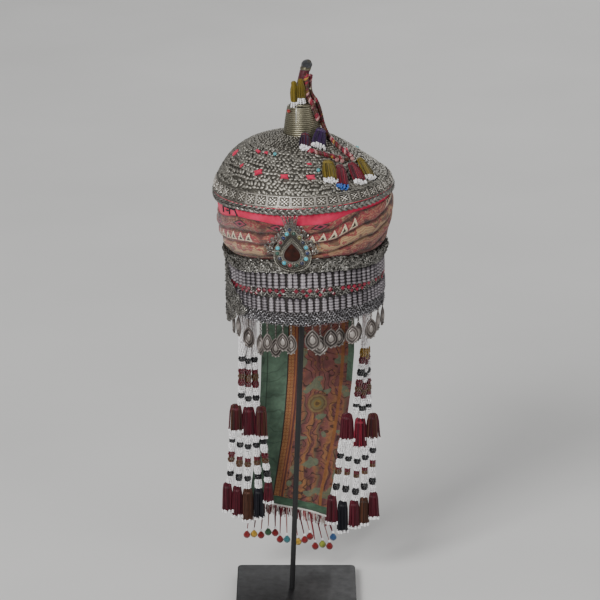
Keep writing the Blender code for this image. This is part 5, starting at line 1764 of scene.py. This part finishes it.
def tail_embroidery():
    """Old silk embroidery on cotton: streaks of faded silk, scrolls, a rosette and a facing of rings.

    Places across the cloth are from the viewer's left edge, and places along it from the stand's foot.
    """
    material, add, feed = new_material("silk_embroidered_cotton", cloth_settings(0.75, 0.35, 0.45))
    uv, u, v = flat_place(add)
    scales = ((0.05, 4.0), (0.028, 2.0), (0.25, 4.0), (0.05, 1.0))
    fade, warp, fine, blotch = (add("TexNoise", uv, Scale=scale, Detail=detail) for scale, detail in scales)
    streak = add("MULTIPLY_ADD", warp, 34.0, add("MULTIPLY_ADD", v, 0.03, u))
    streak = add("FRACT", add("DIVIDE", add("MULTIPLY_ADD", fine, 5.0, streak), 27.0))
    stops = ((0.0, "#6b3c3c"), (0.2, "#875248"), (0.34, "#96643f"), (0.42, "#9d6d42"), (0.5, "#5a3234"))
    stops += ((0.66, "#7d4a48"), (0.8, "#946042"), (0.9, "#6a5a44"), (1.0, "#6b3c3c"))
    tint = add("ValToRGB", streak, stops=stops)
    rose = add("ValToRGB", fade, stops=((0.3, "#6a3a3c"), (0.55, "#87504e"), (0.75, "#956a58")))
    tint = tinted(add, tint, rose, add("MapRange", v, 225.0, 265.0), 0.75)
    swirl = add("MULTIPLY_ADD", warp, 150.0, add("MULTIPLY_ADD", v, 0.35, u))
    tint = tinted(add, tint, "#2a1a1a", add("GREATER_THAN", wave(add, swirl, 14.0), 0.84), 0.75)
    tint = tinted(add, tint, "#64745c", within(add, blotch, 0.6, 0.9), 0.8)
    spots = add("TexVoronoi", uv, Scale=0.16, Randomness=0.8)
    tint = tinted(add, tint, "#a8743c", within(add, spots, 0.2, 0.31), 0.45)
    # The rosette's rings, each a radius in millimetres and its silk
    reach = far_from(add, add("SUBTRACT", u, 71.5), add("SUBTRACT", v, 231.0))
    reach = add("MULTIPLY_ADD", fine, 3.0, add("SUBTRACT", reach, 1.5))
    rings = ((14.0, "#6b4a38"), (11.6, "#8a7a4a"), (9.4, "#4f3a2c"), (7.6, "#77744a"))
    for limit, code in (*rings, (5.0, "#94702e"), (2.4, "#3a2318")):
        tint = tinted(add, tint, code, add("LESS_THAN", reach, limit), 0.62)
    # The upright borders: ochre stripes, and a facing of rings edged with dark thread
    stripes = add("FRACT", add("DIVIDE", add("MULTIPLY_ADD", fine, 1.2, u), 4.6))
    stops = ((0.0, "#945a34"), (0.4, "#945a34"), (0.5, "#4a2226"), (1.0, "#6b3a34"))
    tint = add("Mix", within(add, u, 40.0, 46.5), tint, add("ValToRGB", stripes, stops=stops))
    tint = tinted(add, tint, "#98602f", within(add, u, 95.0, 99.0), 0.8)
    ring = far_from(add, centred(add, add("SUBTRACT", u, 32.6), 3.6), centred(add, v, 4.6))
    ring = within(add, add("MULTIPLY_ADD", fine, 0.2, ring), 0.3, 0.48)
    chain = tinted(add, "#86502c", "#ae8450", ring, 0.7)
    tint = add("Mix", within(add, u, 32.6, 39.9), tint, chain)
    # The sage cloth at the viewer's left edge and upper right corner
    sage = add("ValToRGB", fade, stops=((0.3, "#46624f"), (0.7, "#64806a")))
    # Painted shade: thin dark lines where the sage cloth crinkles
    crinkle = add("GREATER_THAN", wave(add, add("MULTIPLY_ADD", warp, 70.0, v), 21.0), 0.93)
    sage = tinted(add, sage, "#22332a", crinkle, 0.35)
    sage = tinted(add, sage, "#1f2f26", within(add, u, 7.0, 8.2), 0.7)
    tint = add("Mix", add("LESS_THAN", u, 32.0), tint, sage)
    corner = add("MULTIPLY", add("GREATER_THAN", u, 103.0), add("GREATER_THAN", v, 265.0))
    tint = add("Mix", corner, tint, sage)
    tint = add("Mix", within(add, u, 31.4, 32.8), tint, "#25120f")
    soil = add("MULTIPLY_ADD", fine, 0.5, add("MULTIPLY", fade, 0.5))
    tint = add("Mix", add("MapRange", soil, 0.35, 0.62, 0.35, 0.0), tint, "#2a1e18")
    feed("Base Color", tint)
    stitch = add("MULTIPLY", wave(add, add("ADD", u, v), 1.3), wave(add, add("SUBTRACT", u, v), 2.1))
    height = add("ADD", stitch, weave(add, u, v, 1.1))
    feed("Normal", add("Bump", Strength=0.6, Distance=0.18 * MM, Height=height))
    return material


def binding_cotton():
    """Plain woven green cotton, faded in patches: threads at 1.1 mm, coarser than real, so that they show."""
    material, add, feed = new_material("green_cotton_binding", cloth_settings(0.85, 0.3))
    _, u, v = flat_place(add)
    faded = add("TexNoise", add("TexCoord", output="Object"), Scale=1000 / 9.0, Detail=4.0)
    feed("Base Color", add("ValToRGB", faded, stops=((0.3, "#2f4636"), (0.7, "#4c6b52"))))
    feed("Normal", add("Bump", Strength=0.6, Distance=0.15 * MM, Height=weave(add, u, v, 1.1)))
    return material


# The felt bobbles: place across, height and wool
BOBBLES = (
    (-63.0, 58.8, "red"),
    (-54.0, 57.5, "yellow"),
    (-45.0, 56.0, "red"),
    (-36.0, 59.0, "green"),
    (-27.0, 58.6, "red"),
    (-21.0, 48.6, "red"),
    (-12.0, 49.0, "teal"),
    (2.2, 44.3, "yellow"),
    (10.4, 47.0, "red"),
    (17.2, 50.5, "red"),
    (24.0, 37.8, "red"),
    (33.2, 40.0, "lime"),
    (42.2, 38.8, "red"),
    (46.8, 51.0, "blue"),
)
FELTS = {
    "red": ("#8c1013", "#54080b"),
    "yellow": ("#c9a03a", "#8a6a1c"),
    "green": ("#3f6a48", "#22402a"),
    "teal": ("#3c7f86", "#225258"),
    "lime": ("#9aa23c", "#5f6620"),
    "blue": ("#2f5a8a", "#1a3558"),
}


def fringe_knot(share, drop):
    """Where threads are knotted under the tail's foot, at a share of its width."""
    return panel_foot(np.array([share]))[1][0] + np.array((0.0, 0.9, -drop))


def make_panel_fringe(material, bead, bead_material):
    """Piping under the tail's binding, with maroon and pale threads, white beads and felt bobbles."""
    rng = np.random.default_rng(71)
    run = panel_foot(np.linspace(0, 1, 80))[1] + np.array((0.0, 0.9, -1.85))
    piping = strands("fringe_piping", [run], 1.35, material, tones=[0.9], marks={"dye": [DYES["white"]]})
    runs, dye, beads, balls = [], [], [], {kind: [] for kind in FELTS}
    for number, (x, height, kind) in enumerate(BOBBLES):
        knot = fringe_knot(0.03 + 0.94 * number / (len(BOBBLES) - 1), 2.2)
        spot = np.array((x, knot[1] - 1.0 + 2.0 * (number % 2), height))
        balls[kind].append(spot)
        for _ in range(6):
            sway = rng.normal(0, 0.45, 3)
            middle = (knot + spot) / 2 + sway + 3.0 * UPWARDS
            runs.append(smooth_run([knot + sway * 0.6, middle, spot + 3.5 * UPWARDS], 4.0))
            dye.append(DYES[("maroon", "pink", "crimson")[rng.integers(3)]])
        beads.append(bead[0] * 1.35 + spot + np.array((0.0, -1.6, 6.6)))
    for share in np.linspace(0.01, 0.99, 60):
        knot = fringe_knot(share, 2.4)
        for _ in range(3):
            sway = rng.normal(0, 1.0, 2)
            stop = knot + np.array((sway[0] * 1.6, sway[1] * 0.8, -rng.uniform(7, 15)))
            runs.append(smooth_run([knot, (knot + stop) / 2 + SIDEWAYS * sway[0] * 0.4, stop], 3.5))
            dye.append(DYES[("maroon", "pink", "crimson", "white")[rng.integers(4)]])
    fringe = strands("fringe_threads", runs, 0.5, material, sides=4, marks={"dye": dye}, seed=72)
    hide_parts("panel_fringe")
    marks = bead_dye(beads)
    ends = copies("fringe_beads", bead, np.array(beads), bead_material, seed=73, smooth=0, marks=marks)
    bpy.ops.object.select_all(action="DESELECT")
    bpy.ops.mesh.primitive_ico_sphere_add(subdivisions=3, radius=4.7)
    ball, faces = taken_apart(bpy.context.object)
    x, y, z = ball.T
    taper = 1 - 0.68 * np.clip(z / 4.7 + 0.15, 0, 1) ** 1.2
    lumps = 1 + 0.05 * np.sin(x * 2.1) * np.cos(y * 1.7 + z)
    rough = np.stack((x * taper, y * taper, z * 1.2), axis=-1) * lumps[:, None]
    for kind, (light, deep) in FELTS.items():
        name, wool = "fringe_bobbles_" + kind, felt("felted_wool_" + kind, light, deep)
        placed = rough + np.array(balls[kind])[:, None]
        copies(name, (rough, faces), placed, wool, smooth=0)


def stand_paint():
    """Matt black paint on wood and steel: even, with a faint brushed unevenness and soft broad highlights."""
    material, add, feed = new_material("matt_black_paint", {"IOR": 1.5})
    place = add("TexCoord", output="Object")
    brushed = add("TexNoise", place, Scale=1000 / 30.0, Detail=4.0)
    feed("Base Color", add("ValToRGB", brushed, stops=((0.3, "#0b0b0c"), (0.7, "#151516"))))
    rubbed = add("TexNoise", place, Scale=1000 / 8.0, Detail=3.0)
    feed("Roughness", add("MapRange", rubbed, 0.3, 0.7, 0.42, 0.55))
    grain = add("TexNoise", place, Scale=1000 / 1.5, Detail=3.0)
    feed("Normal", add("Bump", Strength=0.4, Distance=0.05 * MM, Height=grain))
    return material


SILVER = {
    "worn": silver("stamped_silver_worn", "#34322f", "#67645e", "#a5a197", 0.45),
    "plate": silver("cast_silver_plate", "#1b1918", "#57534f", "#b4afa8", 0.4),
    "pale": silver("chased_silver_rim", "#24211f", "#86817a", "#e8e3d9", 0.48),
    "tube": silver("rolled_silver_tube", "#2a272a", "#676266", "#bcb5b9", 0.42),
    "bright": silver("granulated_silver_bright", "#2c2a26", "#807d72", "#d6d2c5", 0.3),
    "plain": silver("drawn_silver_wire", "#26241f", "#7d7a6e", "#d4d1c4", 0.3),
    "warm": silver("coiled_silver_warm", "#2a2620", "#6c6856", "#b8b29c", 0.38),
    "leaf": silver("pressed_silver_leaf", "#3a3533", "#746d69", "#b1aaa4", 0.46),
    "mail": silver("riveted_silver_mail", "#282725", "#66635f", "#b0ada6", 0.38),
    "hem": silver("fine_grey_mail", "#242326", "#646266", "#b4b1b3", 0.38),
}


def main():
    coral, backing, lining = cap_cotton(), dark_silver(), dark_cloth()
    floss, beads = dyed_thread(), seed_bead_glass()
    bead = round_bead(1.42, 6, 4)
    for number, row in enumerate(CROWN_TASSELS):
        make_crown_tassel(*row, floss, bead, beads, 80 + number)
    make_braid("braid_short", floss)
    make_braid("braid_long", floss)
    make_braid("braid_cross", floss)
    make_crown_knots(floss)
    make_cap_lining(coral)
    make_crown_plates(SILVER["worn"])
    make_crown_grains(SILVER["worn"])
    make_crown_patches(coral)
    make_crown_beads(glass_bead("turquoise_glass", "#6fb7bb", "#4b989f"))
    make_rim_plates(SILVER["pale"])
    make_rim_plait(SILVER["mail"])
    make_rim_piping(coral)
    make_stitched_hook(floss)
    make_scarf(scarf_cotton())
    make_mail_twist(SILVER["mail"])
    make_band_backing(lining)
    make_tube_row("tubes_upper", "tube_row_upper", 50.0, 69.6, SILVER["tube"])
    make_tube_row("tubes_lower", "tube_row_lower", 20.3, 37.7, SILVER["tube"])
    make_bead_lattice(glass_bead("red_glass", "#8c1230", "#56091c", 0.35, 0.1), SILVER["mail"])
    make_hem_mail(SILVER["hem"])
    make_side_mail(SILVER["mail"])
    make_forehead_ornament()
    make_forehead_chains()
    make_drops(SILVER["leaf"])
    make_finial(floss)
    make_spike_tassels(floss, bead, beads)
    for number, place in enumerate(STRING_ENDS):
        side, level = place.split("_")
        make_bead_strings(place, f"{side}_strings_{level}", bead, beads, floss, 31 + number)
    for number, place in enumerate(TASSEL_ROWS):
        side, level = place.split("_")
        make_tassel_row(place, f"{side}_tassels_{level}", floss, bead, beads, 51 + number)
    make_back_panel(tail_embroidery(), binding_cotton())
    make_panel_fringe(floss, bead, beads)
    paint_nodes(("dome_plates", "rim_band", "rim_edge", "mail_roll", "finial_cone", "finial_spike"), backing)
    paint_nodes(("stand_base", "stand_post", "stand_top"), stand_paint())


main()
